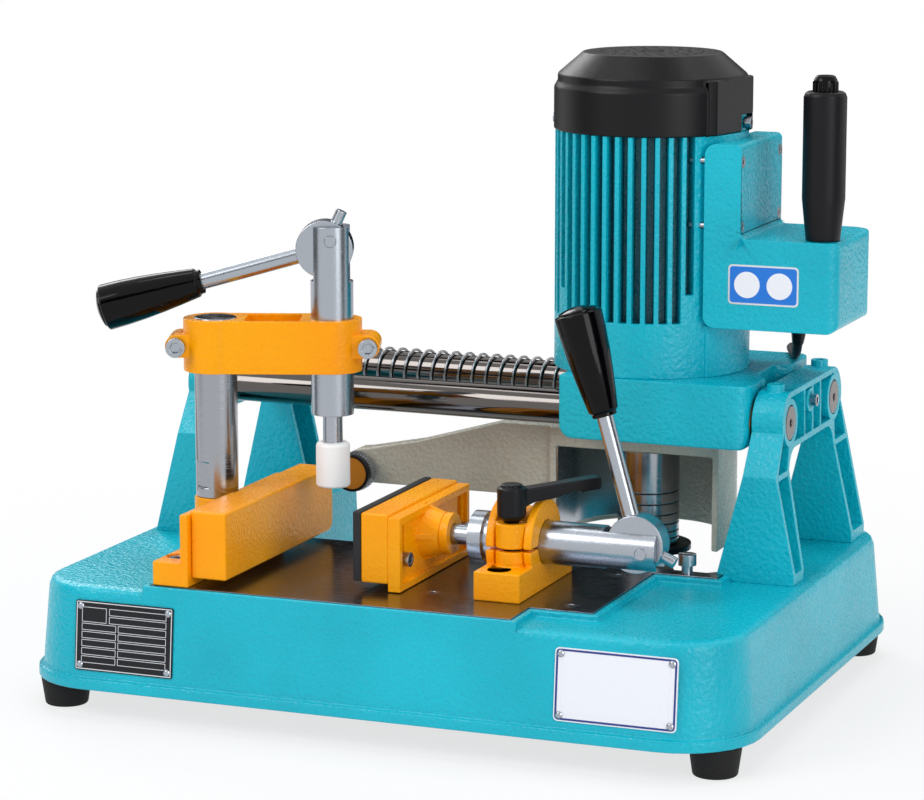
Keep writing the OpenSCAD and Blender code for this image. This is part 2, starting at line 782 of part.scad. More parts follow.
module clamp_arm() color(orange) at_column() difference() {
    union() {
        rod_z(0, 0, [arm_z0, arm_z1], tube_r + arm_wall + 1.5);
        rod_z(arm_reach, 0, [arm_z0, arm_z1], tube_r + arm_wall);
        block([0, arm_reach], [-tube_r - arm_wall, tube_r + arm_wall], [arm_z0, arm_z1]);
        arm_ears(1);
        arm_ears(-1);
    }
    block([tube_r + 7, arm_reach - tube_r - 7], [-tube_r - 1, tube_r + 1], [arm_z0 + 8, arm_z1 + 1]);
    rod_z(0, 0, [arm_z0 - 1, arm_z1 + 1], tube_r + run_gap);
    rod_z(arm_reach, 0, [arm_z0 - 1, arm_z1 + 1], tube_r + run_gap);
    block([-tube_r - 30, 0], [-1.2, 1.2], [arm_z0 - 1, arm_z1 + 1]);
    block([arm_reach, arm_reach + tube_r + 30], [-1.2, 1.2], [arm_z0 - 1, arm_z1 + 1]);
    for (x = [-tube_r - arm_wall - 5, arm_reach + tube_r + arm_wall + 5])
        rod_y(x, [-arm_ear_y - 1, arm_ear_y + 1], (arm_z0 + arm_z1) / 2, arm_screw_r + fixed_gap);
}

module arm_screws() color(steel) at_column()
    for (x = [-tube_r - arm_wall - 5, arm_reach + tube_r + arm_wall + 5])
        translate([x, -arm_ear_y, (arm_z0 + arm_z1) / 2]) {
            rotate([90, 0, 0]) cap_screw(arm_screw_r, 2 * arm_ear_y + arm_nut_h - 1);
            translate([0, 2 * arm_ear_y, 0]) rotate([-90, 0, 0]) difference() {
                cylinder(r = 7, h = arm_nut_h, $fn = 6);
                translate([0, 0, -1]) cylinder(r = arm_screw_r + fixed_gap, h = arm_nut_h + 2);
            }
        }

// A clamp tube along +X with its closed front at x0 and its slotted end at x1
module slotted_tube(x0, x1, bore_end) {
    difference() {
        rod_x([x0, x1], 0, 0, tube_r);
        rod_x([x0 + guide_l, bore_end], 0, 0, tube_bore_r);
        rod_x([x0 - 1, x0 + guide_l + 1], 0, 0, plunger_r + run_gap);
        block([x1 - pin_inset - cam_r - cam_offset - 1, x1 + 1],
            [-cam_t / 2 - 0.3, cam_t / 2 + 0.3], [-tube_r - 1, tube_r + 1]);
        rod_y(x1 - pin_inset, [-tube_r - 1, tube_r + 1], 0, pin_r + run_gap);
    }
    rod_y(x1 - pin_inset, [-tube_r + 0.3, tube_r - 0.3], 0, pin_r);
}

// Hub, rod and stop pin of a cam lever; the rod runs along +X and the pin is at the origin
module cam_lever() {
    hub = [cam_offset * cos(cam_lead), cam_offset * sin(cam_lead)];
    difference() {
        rod_y(hub[0], [-cam_t / 2, cam_t / 2], hub[1], cam_r);
        rod_y(0, [-cam_t, cam_t], 0, pin_r + run_gap);
        rod_x([hub[0] + cam_r - 9, hub[0] + cam_r + 1], 0, hub[1], lever_r);
    }
    rod_x([hub[0] + cam_r - 9, hub[0] + lever_reach + 40], 0, hub[1], lever_r);
    translate([hub[0], 0, hub[1]]) rotate([0, 130, 0]) rod_x([cam_r - 3, cam_r + 9], 0, 0, 4);
}

module lever_knob() {
    hub = [cam_offset * cos(cam_lead), cam_offset * sin(cam_lead)];
    a = hub[0] + lever_reach;
    edge = acos(knob_cap_r / knob_dome_r);
    translate([a, 0, hub[1]]) rotate([0, 90, 0]) rotate_extrude() polygon(concat(
        [[lever_r + fixed_gap, 0], [8.5, 0], [8.5, 2.5], [10.2, 4]],
        [for (i = [1 : 5]) [10.2 + (knob_r - 10.2) * sin(18 * i), 4 + (knob_h - 5) * i / 5]],
        [[knob_r - 1, knob_h], [knob_cap_r, knob_h]],
        arc(0, knob_h + knob_cap_h - knob_dome_r * sin(edge), knob_dome_r, edge, 90, 6),
        [[0, 41], [lever_r + fixed_gap, 41]]
    ));
}

module at_upper_pin() {
    at_upper_tube() translate([0, 0, upper_pin_z]) rotate([0, -upper_lever_turn, 0]) children();
}

cam_dip = cam_offset * cos(upper_lever_turn + cam_lead - 270);
upper_rod_top = upper_pin_z - cam_dip - cam_r - cam_play;

module upper_clamp_tube() color(steel) at_upper_tube()
    translate([0, 0, upper_bottom]) rotate([0, -90, 0])
        slotted_tube(0, upper_top - upper_bottom, upper_top - upper_bottom - cam_seat);

module upper_cam_lever() color(steel) at_upper_pin() cam_lever();
module upper_lever_knob() color(black) at_upper_pin() lever_knob();

module upper_plunger() color(steel) at_upper_tube() {
    rod_z(0, 0, [pad_top - 10, upper_rod_top - 8], plunger_r);
    rod_z(0, 0, [upper_rod_top - 12, upper_rod_top], tube_bore_r - 0.2);
}

module nylon_pad() color([0.95, 0.95, 0.96]) at_upper_tube() translate([0, 0, pad_top - pad_h])
    difference() {
        rotate_extrude() polygon(concat(
            [[0, 0]], arc(pad_r - 2, 2, 2, -90, 0, 4), arc(pad_r - 3, pad_h - 3, 3, 0, 90, 4),
            [[0, pad_h]]
        ));
        translate([0, 0, pad_h - 10]) cylinder(r = plunger_r + fixed_gap, h = 11);
    }

// ---------- lower clamp ----------

module at_lower_tube() {
    translate([0, tube_y, tube_z]) children();
}

module at_lower_pin() {
    at_lower_tube() translate([lower_pin_x, 0, 0]) rotate([0, -lower_lever_turn, 0]) children();
}

module block_screw_places() {
    for (y = [block_y0 + 11, block_y1 - 11])
        translate([(block_x0 + block_x1) / 2 - 2, y, table_z + block_base_h - block_screw_sink]) children();
}

module clamp_block() color(orange) difference() {
    mid = (block_x0 + block_x1) / 2;
    union() {
        block([block_x0, block_x1], [block_y0, block_y1], [table_z, table_z + block_base_h]);
        for (x = [block_x0, block_x1 - block_ring_t])
            rod_x([x, x + block_ring_t], tube_y, tube_z, block_ring_r);
        rod_x([block_x0, block_x1], tube_y, tube_z, block_core_r);
        block([block_x0, block_x1], [tube_y - 26, tube_y + 26], [table_z, tube_z - 10]);
        rod_z(mid, lock_y, [table_z, lock_top], lock_r);
        block([mid - 8, mid + 8], [lock_y, tube_y], [table_z, lock_top]);
    }
    block([-500, 500], [-500, 500], [table_z - 30, table_z]);
    rod_x([block_x0 - 1, block_x1 + 1], tube_y, tube_z, tube_r + run_gap);
    block([block_x0 - 1, block_x1 + 1], [block_y0 - 1, tube_y], [tube_z - 2, tube_z]);
    rod_z(mid, lock_y, [table_z + block_base_h + 2, lock_top + 1], 5 + run_gap);
    block_screw_places() {
        translate([0, 0, -60]) cylinder(r = 4 + fixed_gap, h = 61);
        cylinder(r = 7, h = 12);
    }
}

module lock_lever() color(black) translate([(block_x0 + block_x1) / 2, lock_y, lock_top]) {
    rotate_extrude() polygon([
        [0, -20], [5, -20], [5, 1.2], [6, 1.2], [lock_r - 1, 4.6], [lock_r - 1, 24], [8, 24],
        [7.2, 26.5], [0, 27]
    ]);
    rotate([0, 0, lock_turn]) difference() {
        extrude_y([-5.5, 5.5]) polygon([
            [0, 9], [10, 11.5], [16, 13.8], [28, 14.6], [45, 18.5], [50, 18.5], [50, 17.5], [64, 18.5],
            [65, 19.5], [65, 26], [64, 27], [50, 26], [13, 23.4], [0, 22]
        ]);
        cylinder(r = 6, h = 40);
    }
}

module lower_clamp_tube() color(steel) at_lower_tube() {
    slotted_tube(tube_x0, tube_x1, tube_x1 - cam_seat);
    difference() {
        rod_x([tube_x0 - 10, tube_x0], 0, 0, tube_r + 3);
        rod_x([tube_x0 - 11, tube_x0 + 1], 0, 0, plunger_r + 0.5);
    }
}

module lower_cam_lever() color(steel) at_lower_pin() cam_lever();
module lower_lever_knob() color(black) at_lower_pin() lever_knob();

cam_push = cam_offset * cos(lower_lever_turn + cam_lead - 180);
lower_rod_end = lower_pin_x - cam_push - cam_r - cam_play;

module lower_plunger() color(steel) at_lower_tube() {
    rod_x([plate_x1 + 4, lower_rod_end - 8], 0, 0, plunger_r);
    rod_x([lower_rod_end - 12, lower_rod_end], 0, 0, tube_bore_r - 0.2);
}

module push_plate() color(orange) difference() {
    union() {
        difference() {
            block([plate_x0, plate_x1], [push_y0, push_y0 + push_l], [push_z0, push_z0 + push_h]);
            block([plate_x1 - plate_pocket, plate_x1 + 1],
                [push_y0 + plate_rim, push_y0 + push_l - plate_rim],
                [push_z0 + plate_rim, push_z0 + push_h - plate_rim]);
        }
        at_lower_tube() translate([plate_x1 - plate_pocket - eps, 0, 0]) rotate([0, 90, 0])
            cylinder(r1 = 18, r2 = 13, h = 18 + plate_pocket);
        at_lower_tube() rod_x([plate_x1 + 12, plate_x1 + 18], 0, 0, 14.5);
        for (turn = [0, 90, 180, 270]) at_lower_tube() rotate([turn, 0, 0]) extrude_y([-2, 2]) polygon([
            [plate_x1 - plate_pocket - eps, 0], [plate_x1 - plate_pocket - eps, 20], [plate_x1 + 17, 12]
        ]);
    }
    at_lower_tube() rod_x([plate_x1 + 4, plate_x1 + 20], 0, 0, plunger_r + fixed_gap);
    for (y = slot_ys) {
        block([plate_x0 - 1, plate_x1 + 1], [y - slot_half, y + slot_half],
            [slot_low, slot_low + slot_rise]);
        for (z = [slot_low, slot_low + slot_rise]) rod_x([plate_x0 - 1, plate_x1 + 1], y, z, slot_half);
    }
}

module jaw_pad() color(orange) difference() {
    block([pad_x0, plate_x0], [push_y0, push_y0 + push_l], [push_z0 + 5, push_z0 + push_h + 2]);
    for (y = slot_ys) rod_x([plate_x0 - 12, plate_x0 + 1], y, slot_low, pad_screw_r + fixed_gap);
}

module rubber_face() color(black)
    block([pad_x0 - rubber_t, pad_x0], [push_y0, push_y0 + push_l], [push_z0 + 5.5, push_z0 + push_h + 2.5]);

module jaw_pad_screws() color(steel) for (y = slot_ys)
    translate([plate_x1 - plate_pocket + 0.1, y, slot_low]) rotate([0, 90, 0]) cap_screw(pad_screw_r, 17);

// ---------- carriage ----------

module carriage_casting() color(teal) difference() {
    r = 10;
    intersection() {
        extrude_y([carriage_y0, carriage_y1]) polygon(concat(
            [[carriage_x1, carriage_z1], [carriage_x0, carriage_z1]],
            arc(carriage_x0 + r, carriage_z0 + r, r, 180, 270),
            arc(carriage_x1 - 6, carriage_z0 + 6, 6, 270, 360)
        ));
        // upright edges are rounded at the right end
        translate([0, 0, carriage_z0 - 1]) linear_extrude(carriage_h + 2) polygon(concat(
            [[carriage_x0, carriage_y1], [carriage_x0, carriage_y0]],
            arc(carriage_x1 - r, carriage_y0 + r, r, 270, 360),
            arc(carriage_x1 - r, carriage_y1 - r, r, 0, 90)
        ));
    }
    for (y = [bar_y0, bar_y1]) {
        rod_x([carriage_x0 - 1, carriage_x1 + 1], y, bar_z, bar_r + 1);
        rod_x([carriage_x0 - 1, carriage_x0 + bush_l], y, bar_z, bush_r + 0.02);
        rod_x([carriage_x1 - bush_l, carriage_x1 + 1], y, bar_z, bush_r + 0.02);
    }
    // relief for the bracket's head at the right end
    translate([0, 0, carriage_z0 - 1]) linear_extrude(carriage_h + 2) polygon([
        [carriage_x1 + 1, bar_mid_y - 36], [carriage_x1 - 11, bar_mid_y - 18],
        [carriage_x1 - 11, bar_mid_y + 22], [carriage_x1 + 1, bar_mid_y + 28]
    ]);
    rod_z(motor_x, motor_y, [carriage_z0 - 1, carriage_z1 + 1], ring_r + 8);
    // two lightening pockets below, with a rib between them
    for (y = [[bar_y0 + 21, bar_mid_y - 2.5], [bar_mid_y + 2.5, bar_y1 - 21]])
        block([carriage_x0 + 90, carriage_x1 - 18], y, [carriage_z0 - 1, carriage_z1 - 9]);
    guard_screw_places() cylinder(r = 3 + fixed_gap, h = 14);
    for (a = [45, 135, 225, 315]) translate([motor_x, motor_y, carriage_z1 - 12]) rotate([0, 0, a])
        translate([48, 0, 0]) cylinder(r = 4 + fixed_gap, h = 13);
}

module linear_bushes() color([0.75, 0.55, 0.25])
    for (x = [[carriage_x0, carriage_x0 + bush_l], [carriage_x1 - bush_l, carriage_x1]])
        for (y = [bar_y0, bar_y1]) difference() {
            rod_x(x, y, bar_z, bush_r);
            rod_x([x[0] - 1, x[1] + 1], y, bar_z, bar_r + run_gap);
        }

// ---------- motor ----------

module at_motor() {
    translate([motor_x, motor_y, 0]) children();
}

// Slot between two fins, wider outside so that the fins keep their thickness
module fin_slot(z) {
    root = motor_r - fin_depth;
    tip = motor_r + 2;
    translate([0, 0, z[0]]) linear_extrude(z[1] - z[0]) polygon([
        [root, fin_t / 2 - root * PI / fin_count], [tip, fin_t / 2 - tip * PI / fin_count],
        [tip, tip * PI / fin_count - fin_t / 2], [root, root * PI / fin_count - fin_t / 2]
    ]);
}

// A sector about the motor's axis, from -half to +half degrees
module sector(half, r, z) {
    translate([0, 0, z[0]]) linear_extrude(z[1] - z[0])
        polygon(concat([[0, 0]], arc(0, 0, r, -half, half, 16)));
}

module motor_housing() color(teal) difference() {
    at_motor() union() {
        rod_z(0, 0, [carriage_z1, cowl_z], motor_r);
        // the spigot has flats inside the pads of the cowl
        difference() {
            rod_z(0, 0, [cowl_z - 1, cowl_z + spigot_h], spigot_r);
            for (a = cowl_pads) rotate([0, 0, a]) block([cowl_pad_x - cowl_wall - fixed_gap, cowl_r],
                [-cowl_r, cowl_r], [cowl_z - 2, cowl_z + spigot_h + 1]);
        }
        sector(box_seat, motor_r + 2.5, [carriage_z1, box_z0]);
    }
    at_motor() {
        rod_z(0, 0, [fin_z, cowl_z + spigot_h + 1], stator_r + 0.02);
        rod_z(0, 0, [bearing_z + bearing_h + 4, fin_z + 1], stator_r - 8);
        rod_z(0, 0, [bearing_z, bearing_z + bearing_h + 5], bearing_r + 0.02);
        rod_z(0, 0, [carriage_z1 - 1, bearing_z + 1], shaft_r + 4);
        // fin slots, shorter over the corner lugs and left out behind the control box
        for (i = [0 : fin_count - 1]) let (a = i * 360 / fin_count, lug = abs(a % 90 - 45) < 4)
            if (a > 46 && a < 314) rotate([0, 0, a]) fin_slot([fin_z + (lug ? lug_rise : 0), cowl_z + 1]);
        for (a = [45, 135, 225, 315]) rotate([0, 0, a]) translate([48, 0, carriage_z1 - 1])
            cylinder(r = 4 + fixed_gap, h = 12);
        cowl_screw_places() rotate([0, -90, 0]) cylinder(r = 2.5 + fixed_gap, h = 13);
    }
    box_screw_places() rotate([0, -90, 0]) cylinder(r = box_screw_r + fixed_gap, h = box_tall_w + 14);
}

module stator() color([0.45, 0.42, 0.40]) at_motor() {
    difference() {
        rod_z(0, 0, [fin_z + 20, fin_z + 92], stator_r);
        rod_z(0, 0, [fin_z + 19, fin_z + 93], rotor_r + 0.6);
    }
    for (z = [fin_z + 8, fin_z + 92]) translate([0, 0, z]) rotate_extrude() polygon([
        [rotor_r + 3, 0], [stator_r - 4, 0], [stator_r - 4, 12], [rotor_r + 3, 12]
    ]);
}

module motor_end_shield() color(steel) at_motor() difference() {
    rod_z(0, 0, [shield_z, cowl_z], stator_r - 0.02);
    rod_z(0, 0, [shield_z - 1, cowl_z - 4], bearing_r + 0.02);
    rod_z(0, 0, [shield_z - 1, cowl_z + 1], shaft_r + 4);
}

module motor_bearings() color(steel) at_motor() for (z = [bearing_z, shield_z - 1])
    difference() {
        rod_z(0, 0, [z, z + bearing_h - eps], bearing_r);
        rod_z(0, 0, [z - 1, z + bearing_h + 1], shaft_r + run_gap);
        for (s = [-1, bearing_h - 1.5]) translate([0, 0, z + s]) difference() {
            cylinder(r = bearing_r - 4, h = 2.5);
            cylinder(r = shaft_r + 4, h = 2.5);
        }
    }

module cowl_screw_places() {
    for (a = cowl_notches) rotate([0, 0, a]) translate([spigot_r, 0, cowl_z + 6]) children();
}

// The cowl's outline, drawn in by a wall
module cowl_profile(inset, drop) {
    rim = cowl_r - inset;
    neck = rim - cowl_bevel;
    rotate_extrude() polygon([
        [0, -drop], [rim, -drop], [rim, cowl_band_h - inset / 2],
        [neck, cowl_band_h + cowl_bevel_h - inset / 2], [neck, cowl_cone_z - inset / 2],
        [cowl_top_r - inset / 2, cowl_h - inset], [0, cowl_h - inset]
    ]);
}

// Plan of a pad on the cowl's side, before its front is cut flat
module cowl_pad() {
    x = cowl_pad_x;
    polygon([
        [20, -cowl_pad_half - 5], [x - 3.5, -cowl_pad_half - 5], [x + 3.5, 5 - cowl_pad_half],
        [x + 3.5, cowl_pad_half - 5], [x - 3.5, cowl_pad_half + 5], [20, cowl_pad_half + 5]
    ]);
}

module fan_cowl() color(black) at_motor() difference() {
    union() {
        translate([0, 0, cowl_z + 0.1]) cowl_profile(0, 0);
        for (a = cowl_pads) rotate([0, 0, a]) translate([0, 0, cowl_z + 0.1])
            linear_extrude(cowl_pad_h) cowl_pad();
    }
    difference() {
        translate([0, 0, cowl_z]) cowl_profile(cowl_wall, 1);
        for (a = cowl_pads) rotate([0, 0, a])
            block([cowl_pad_x - cowl_wall, cowl_r], [-cowl_r, cowl_r], [cowl_z - 2, cowl_z + cowl_h]);
    }
    for (a = cowl_pads) rotate([0, 0, a])
        block([cowl_pad_x, cowl_r + 5], [-cowl_r, cowl_r], [cowl_z - 1, cowl_z + cowl_h]);
    for (a = cowl_notches) rotate([0, 0, a])
        block([spigot_r - 4, cowl_r + 4], [-cowl_notch_w / 2, cowl_notch_w / 2],
            [cowl_z - 1, cowl_z + cowl_notch_h]);
    for (ring = vent_rings, i = [0 : ring[1] - 1]) rotate([0, 0, 360 * i / ring[1]])
        rod_z(ring[0], 0, [cowl_top - 5, cowl_top + 1], 2);
    // groove round the middle of the top
    translate([0, 0, cowl_top - 0.8]) difference() {
        cylinder(r = 9, h = 2);
        translate([0, 0, -1]) cylinder(r = 8, h = 4);
    }
}

module carriage_screws() color(steel) {
    at_motor() cowl_screw_places() rotate([0, 90, 0]) cap_screw(2.5, 12);
    box_screw_places() rotate([0, 90, 0]) flat_screw(box_screw_r, box_tall_w + 12);
    guard_screw_places() translate([0, 0, -6]) rotate([180, 0, 0]) cap_screw(3, 16);
    at_motor() for (a = [45, 135, 225, 315]) rotate([0, 0, a]) translate([48, 0, carriage_z1])
        rod_z(0, 0, [-11, 10], 4);
}

// ---------- control box ----------

module box_screw_places() {
    for (y = [box_y0 + 5, box_y0 + box_w - 5], z = [box_low_z + 8, box_top - 12])
        translate([box_x1, y, z]) children();
}

// Plan outline of the box between two X values, inset by a wall
module box_plan(x0, x1, inset) {
    y0 = box_y0 + inset;
    y1 = box_y0 + box_w - inset;
    r0 = max(box_front_r - inset, 1);
    r1 = max(box_corner - inset, 1);
    polygon(concat(
        [[x0, y0]], arc(x1 - inset - r0, y0 + r0, r0, 270, 360),
        arc(x1 - inset - r1, y1 - r1, r1, 0, 90), [[x0, y1]]
    ));
}

// Front view of the box: a tall part, a low part and the fillet between them
module box_front() {
    e = box_edge_r;
    t = box_top_r;
    polygon(concat(
        arc(box_x0 + e, box_z0 + e, e, 180, 270), arc(box_x2 - e, box_z0 + e, e, 270, 360),
        arc(box_x2 - t, box_low_z - t, t, 0, 90), arc(box_x1 + t, box_low_z + t, t, 270, 180),
        arc(box_x1 - t, box_top - t, t, 0, 90), arc(box_x0 + e, box_top - e, e, 90, 180)
    ));
}

module control_box() color(teal) difference() {
    intersection() {
        extrude_y([box_y0, box_y0 + box_w]) box_front();
        union() {
            translate([0, 0, box_z0]) linear_extrude(box_low_h + box_top_r) box_plan(box_x0, box_x2, 0);
            block([box_x0, box_x1], [box_y0, box_y0 + box_w], [box_z0, box_top]);
        }
    }
    translate([0, 0, box_z0 + box_wall]) linear_extrude(box_low_h - 2 * box_wall)
        box_plan(box_x0 + 3, box_x2, box_wall);
    block([box_x0 - 1, box_x1 - box_wall], [box_y0 + box_wall + 6, box_y0 + box_w - box_wall - 6],
        [box_z0 + box_wall, box_top - box_wall]);
    at_motor() rod_z(0, 0, [carriage_z1, cowl_z + 1], motor_r + 0.1);
    box_screw_places() rotate([0, 90, 0]) flat_screw_hole(box_screw_r, box_tall_w + 1);
    rod_z(grip_x, grip_y, [box_low_z - box_wall - 1, box_low_z + 1], grip_tube_r + fixed_gap);
    rod_z(gland_x, gland_y, [box_z0 - 1, box_z0 + box_wall + 1], gland_r - 2 + fixed_gap);
}

module run_capacitor() color([0.85, 0.85, 0.82])
    rod_y(box_x1 + 32, [box_y0 + 30, box_y0 + 80], box_z0 + box_wall + 19, 17);

module grip_tube() color(steel) difference() {
    rod_z(grip_x, grip_y, [box_low_z - box_wall - 8, box_low_z + grip_h - 6], grip_tube_r);
    rod_z(grip_x, grip_y, [box_low_z - box_wall - 9, box_low_z + grip_h], grip_tube_r - 2);
}

module hand_grip() color(black) translate([grip_x, grip_y, box_low_z]) difference() {
    rotate_extrude() polygon([
        [0, 0], [grip_r - 3.2, 0], [grip_r - 3, 1], [grip_r, 29.5], [grip_r, grip_h - 4],
        [grip_r - 1.2, grip_h - 1], [grip_r - 3, grip_h], [0, grip_h]
    ]);
    rod_z(0, 0, [-1, grip_h - 5.8], grip_tube_r + fixed_gap);
    rod_z(0, 0, [grip_h - 6, grip_h + 1], 9.2);
}

module push_button() color(black) translate([grip_x, grip_y, box_low_z + grip_h]) rotate_extrude()
    polygon(concat([[0, -1.5], [9, -1.5], [9, 6]], arc(6, 7, 3, 0, 90, 4), [[0, 11]]));

// The gland's collar and nut, and the strain relief that bends with the lead
module cable_gland() color(black) {
    rod_z(gland_x, gland_y, [box_z0, box_z0 + box_wall + 3], gland_r - 2);
    rod_z(gland_x, gland_y, [box_z0 - gland_h, box_z0], gland_r);
    tube_along(relief_route, gland_r - 1, cord_r + 0.8, cord_sides);
}

module box_label() color([0.1, 0.45, 0.85])
    block([185.5, 236.5], [box_y0 - 0.6, box_y0], [box_z0 + 18, box_z0 + 46]);

// ---------- chip guard and end stop ----------

module guard_plan(inset) {
    translate([motor_x, motor_y]) circle(r = guard_out - inset);
    translate([motor_x - guard_out + inset, guard_front - (inset > 0 ? 10 : 0)])
        square([2 * (guard_out - inset), motor_y - guard_front + (inset > 0 ? 10 : 0)]);
}

module guard_screw_places() {
    for (x = [-1, 1]) translate([motor_x + x * 45, motor_y - 24, carriage_z0]) children();
}

module chip_guard() color(warm_grey) difference() {
    union() {
        translate([0, 0, guard_z0]) linear_extrude(guard_h) difference() {
            guard_plan(0);
            guard_plan(guard_wall);
            translate([0, guard_front - 100]) square([400, 100]);
        }
        translate([0, 0, carriage_z0 - 6]) linear_extrude(6) difference() {
            guard_plan(0);
            translate([0, guard_front - 100]) square([400, 100]);
        }
        block([motor_x - guard_out, motor_x + guard_out], [guard_front, guard_front + 5],
            [carriage_z0 - 14, carriage_z0]);
        extrude_y([stop_arm_y0, stop_arm_y0 + stop_arm_t]) polygon([
            [stop_x, stop_z - 10], [motor_x - guard_r - 1, stop_z - 10],
            [motor_x - guard_r - 1, carriage_z0], [motor_x - guard_out - 38, carriage_z0],
            [stop_x + 46, carriage_z0 - 19], [stop_x + 4, carriage_z0 - 27.5], [stop_x, carriage_z0 - 28]
        ]);
        rod_y(stop_x, [stop_arm_y0, stop_arm_y0 + stop_arm_t], stop_z + 2.5, 12.5);
    }
    at_motor() rod_z(0, 0, [guard_z0 - 1, carriage_z0 + 1], ring_r + 12);
    guard_screw_places() translate([0, 0, -7]) cylinder(r = 3 + fixed_gap, h = 8);
    rod_y(stop_x, [stop_arm_y0 - 1, stop_arm_y0 + stop_arm_t + 1], stop_z, stop_screw_r + run_gap);
}

module guard_liner() color(steel) translate([0, 0, guard_z0 + 4]) linear_extrude(guard_h - 18 - fixed_gap)
    difference() {
        guard_plan(guard_wall + fixed_gap);
        guard_plan(guard_wall + fixed_gap + liner_t);
        translate([0, guard_front + 1 - 100]) square([400, 100]);
        translate([motor_x - 20, 0]) square([200, 200]);
    }

module end_stop() color([0.7, 0.45, 0.1]) {
    y0 = stop_arm_y0 - 19;
    difference() {
        union() {
            rod_y(stop_x, [y0, y0 + 5], stop_z, stop_r);
            rod_y(stop_x, [y0 + 5, y0 + 15], stop_z, stop_r + 0.6);
            rod_y(stop_x, [y0 + 14, stop_arm_y0 + stop_arm_t + 10], stop_z, stop_screw_r);
        }
        for (a = [0 : 20 : 340]) translate([stop_x, 0, stop_z]) rotate([0, a, 0])
            rod_y(stop_r + 1, [y0 + 6, y0 + 16], 0, 0.8);
    }
}

// ---------- spindle ----------

module arbor_shaft() color(steel) at_motor() {
    rod_z(0, 0, [arbor_bottom, bearing_z - 4], arbor_r);
    rod_z(0, 0, [bearing_z - 4, cowl_z + 2], shaft_r);
    rod_z(0, 0, [cowl_z + 2, cowl_z + 22], 8);
}

module rotor_core() color(steel) at_motor() difference() {
    rod_z(0, 0, [fin_z + 20, fin_z + 92], rotor_r);
    rod_z(0, 0, [fin_z + 19, fin_z + 93], shaft_r + 0.02);
}

module cooling_fan() color(black) at_motor() difference() {
    union() {
        rod_z(0, 0, [cowl_z + 4, cowl_z + 7], stator_r - 3);
        rod_z(0, 0, [cowl_z + 4, cowl_z + 22], 14);
        for (a = [0 : 45 : 315]) rotate([0, 0, a])
            block([12, stator_r - 4], [-1.2, 1.2], [cowl_z + 6, cowl_z + 22]);
    }
    rod_z(0, 0, [cowl_z + 3, cowl_z + 23], 8.02);
}

function sum_to(list, n) = n <= 0 ? 0 : list[n - 1] + sum_to(list, n - 1);

// One grooved ring of the stack
module spacer_ring(z0, z1) {
    rotate_extrude() polygon([
        [arbor_r + 0.02, z0], [ring_r - ring_groove, z0], [ring_r, z0 + ring_groove],
        [ring_r, z1 - eps], [arbor_r + 0.02, z1 - eps]
    ]);
}

module spacer_rings() color(steel) at_motor() {
    z = flange_z + flange_t;
    for (i = [0 : len(ring_heights) - 1])
        spacer_ring(z + sum_to(ring_heights, i), z + sum_to(ring_heights, i + 1));
    spacer_ring(z + sum_to(ring_heights, len(ring_heights)), sleeve_top);
}

module end_flange() color(black) at_motor() difference() {
    rod_z(0, 0, [flange_z, flange_z + flange_t - eps], flange_r);
    rod_z(0, 0, [flange_z - 1, flange_z + flange_t + 1], arbor_r + 0.02);
}

// ---------- plates ----------

wall_lean = atan((base_draft - rim_step) / (base_top - edge_round - foot_h - rim_h / 2));

// Frame of a plate on the leaning front wall, seen from the front: X right, Y up, Z outwards
module at_front(x) {
    translate([x, -base_w / 2 + rim_step, foot_h + rim_h / 2]) rotate([90 - wall_lean, 0, 0]) children();
}

rating_x = -178;
badge_x = 181;
plate_up = 34;

module plate_corners(l, h) {
    for (sx = [-1, 1], sy = [-1, 1]) translate([sx * (l / 2 - 4), sy * (h / 2 - 4), 0]) children();
}

module plate_places() {
    at_front(rating_x) translate([0, plate_up, 0]) plate_corners(rating_l, rating_h) children();
    at_front(badge_x) translate([0, plate_up, 0]) plate_corners(badge_l, badge_h) children();
}

module riveted_plate(x, l, h) {
    at_front(x) translate([0, plate_up, 0]) difference() {
        block([-l / 2, l / 2], [-h / 2, h / 2], [0.02, 1.2]);
        plate_corners(l, h) cylinder(r = 1.5 + fixed_gap, h = 4, center = true);
    }
}

module rating_plate() color(black) riveted_plate(rating_x, rating_l, rating_h);
module front_badge() color("white") riveted_plate(badge_x, badge_l, badge_h);

module plate_rivets() color(steel) plate_places() {
    cylinder(r = 1.5, h = 12, center = true);
    translate([0, 0, 1.25]) rotate_extrude() polygon([[0, 0], [2.6, 0], [2.2, 0.8], [1, 1.4], [0, 1.5]]);
}

// ---------- power lead ----------

function unit(v) = v / norm(v);
function heading(p, i) = unit(p[min(i + 1, len(p) - 1)] - p[max(i - 1, 0)]);

// A closed tube along a list of points, with rings square to the path, from radius r0 to r1
module tube_along(p, r0, r1, sides) {
    points = [for (i = [0 : len(p) - 1]) let (
        d = heading(p, i), side = unit(cross(d, [1, 0, 0.02])), up = cross(side, d),
        r = r0 + (r1 - r0) * i / (len(p) - 1)
    ) for (j = [0 : sides - 1]) p[i] + r * (cos(360 * j / sides) * side + sin(360 * j / sides) * up)];
    faces = concat(
        [[for (j = [sides - 1 : -1 : 0]) j]],
        [for (i = [0 : len(p) - 2]) for (j = [0 : sides - 1]) let (k = (j + 1) % sides)
            [i * sides + j, i * sides + k, (i + 1) * sides + k, (i + 1) * sides + j]],
        [[for (j = [0 : sides - 1]) (len(p) - 1) * sides + j]]
    );
    polyhedron(points = points, faces = faces, convexity = 10);
}

// The lead leaves the box straight down and turns to the back in an arc
function lead_point(a) = [
    gland_x + lead_turn * (1 - cos(a)) * cos(lead_side),
    gland_y + lead_turn * (1 - cos(a)) * sin(lead_side), box_z0 - gland_h - lead_turn * sin(a)
];

relief_route = [for (a = [0 : 6 : 36]) lead_point(a)];
cord_route = concat(
    [lead_point(37), lead_point(38)], [for (a = [45 : 9 : 81]) lead_point(a)], cord_low_route
);

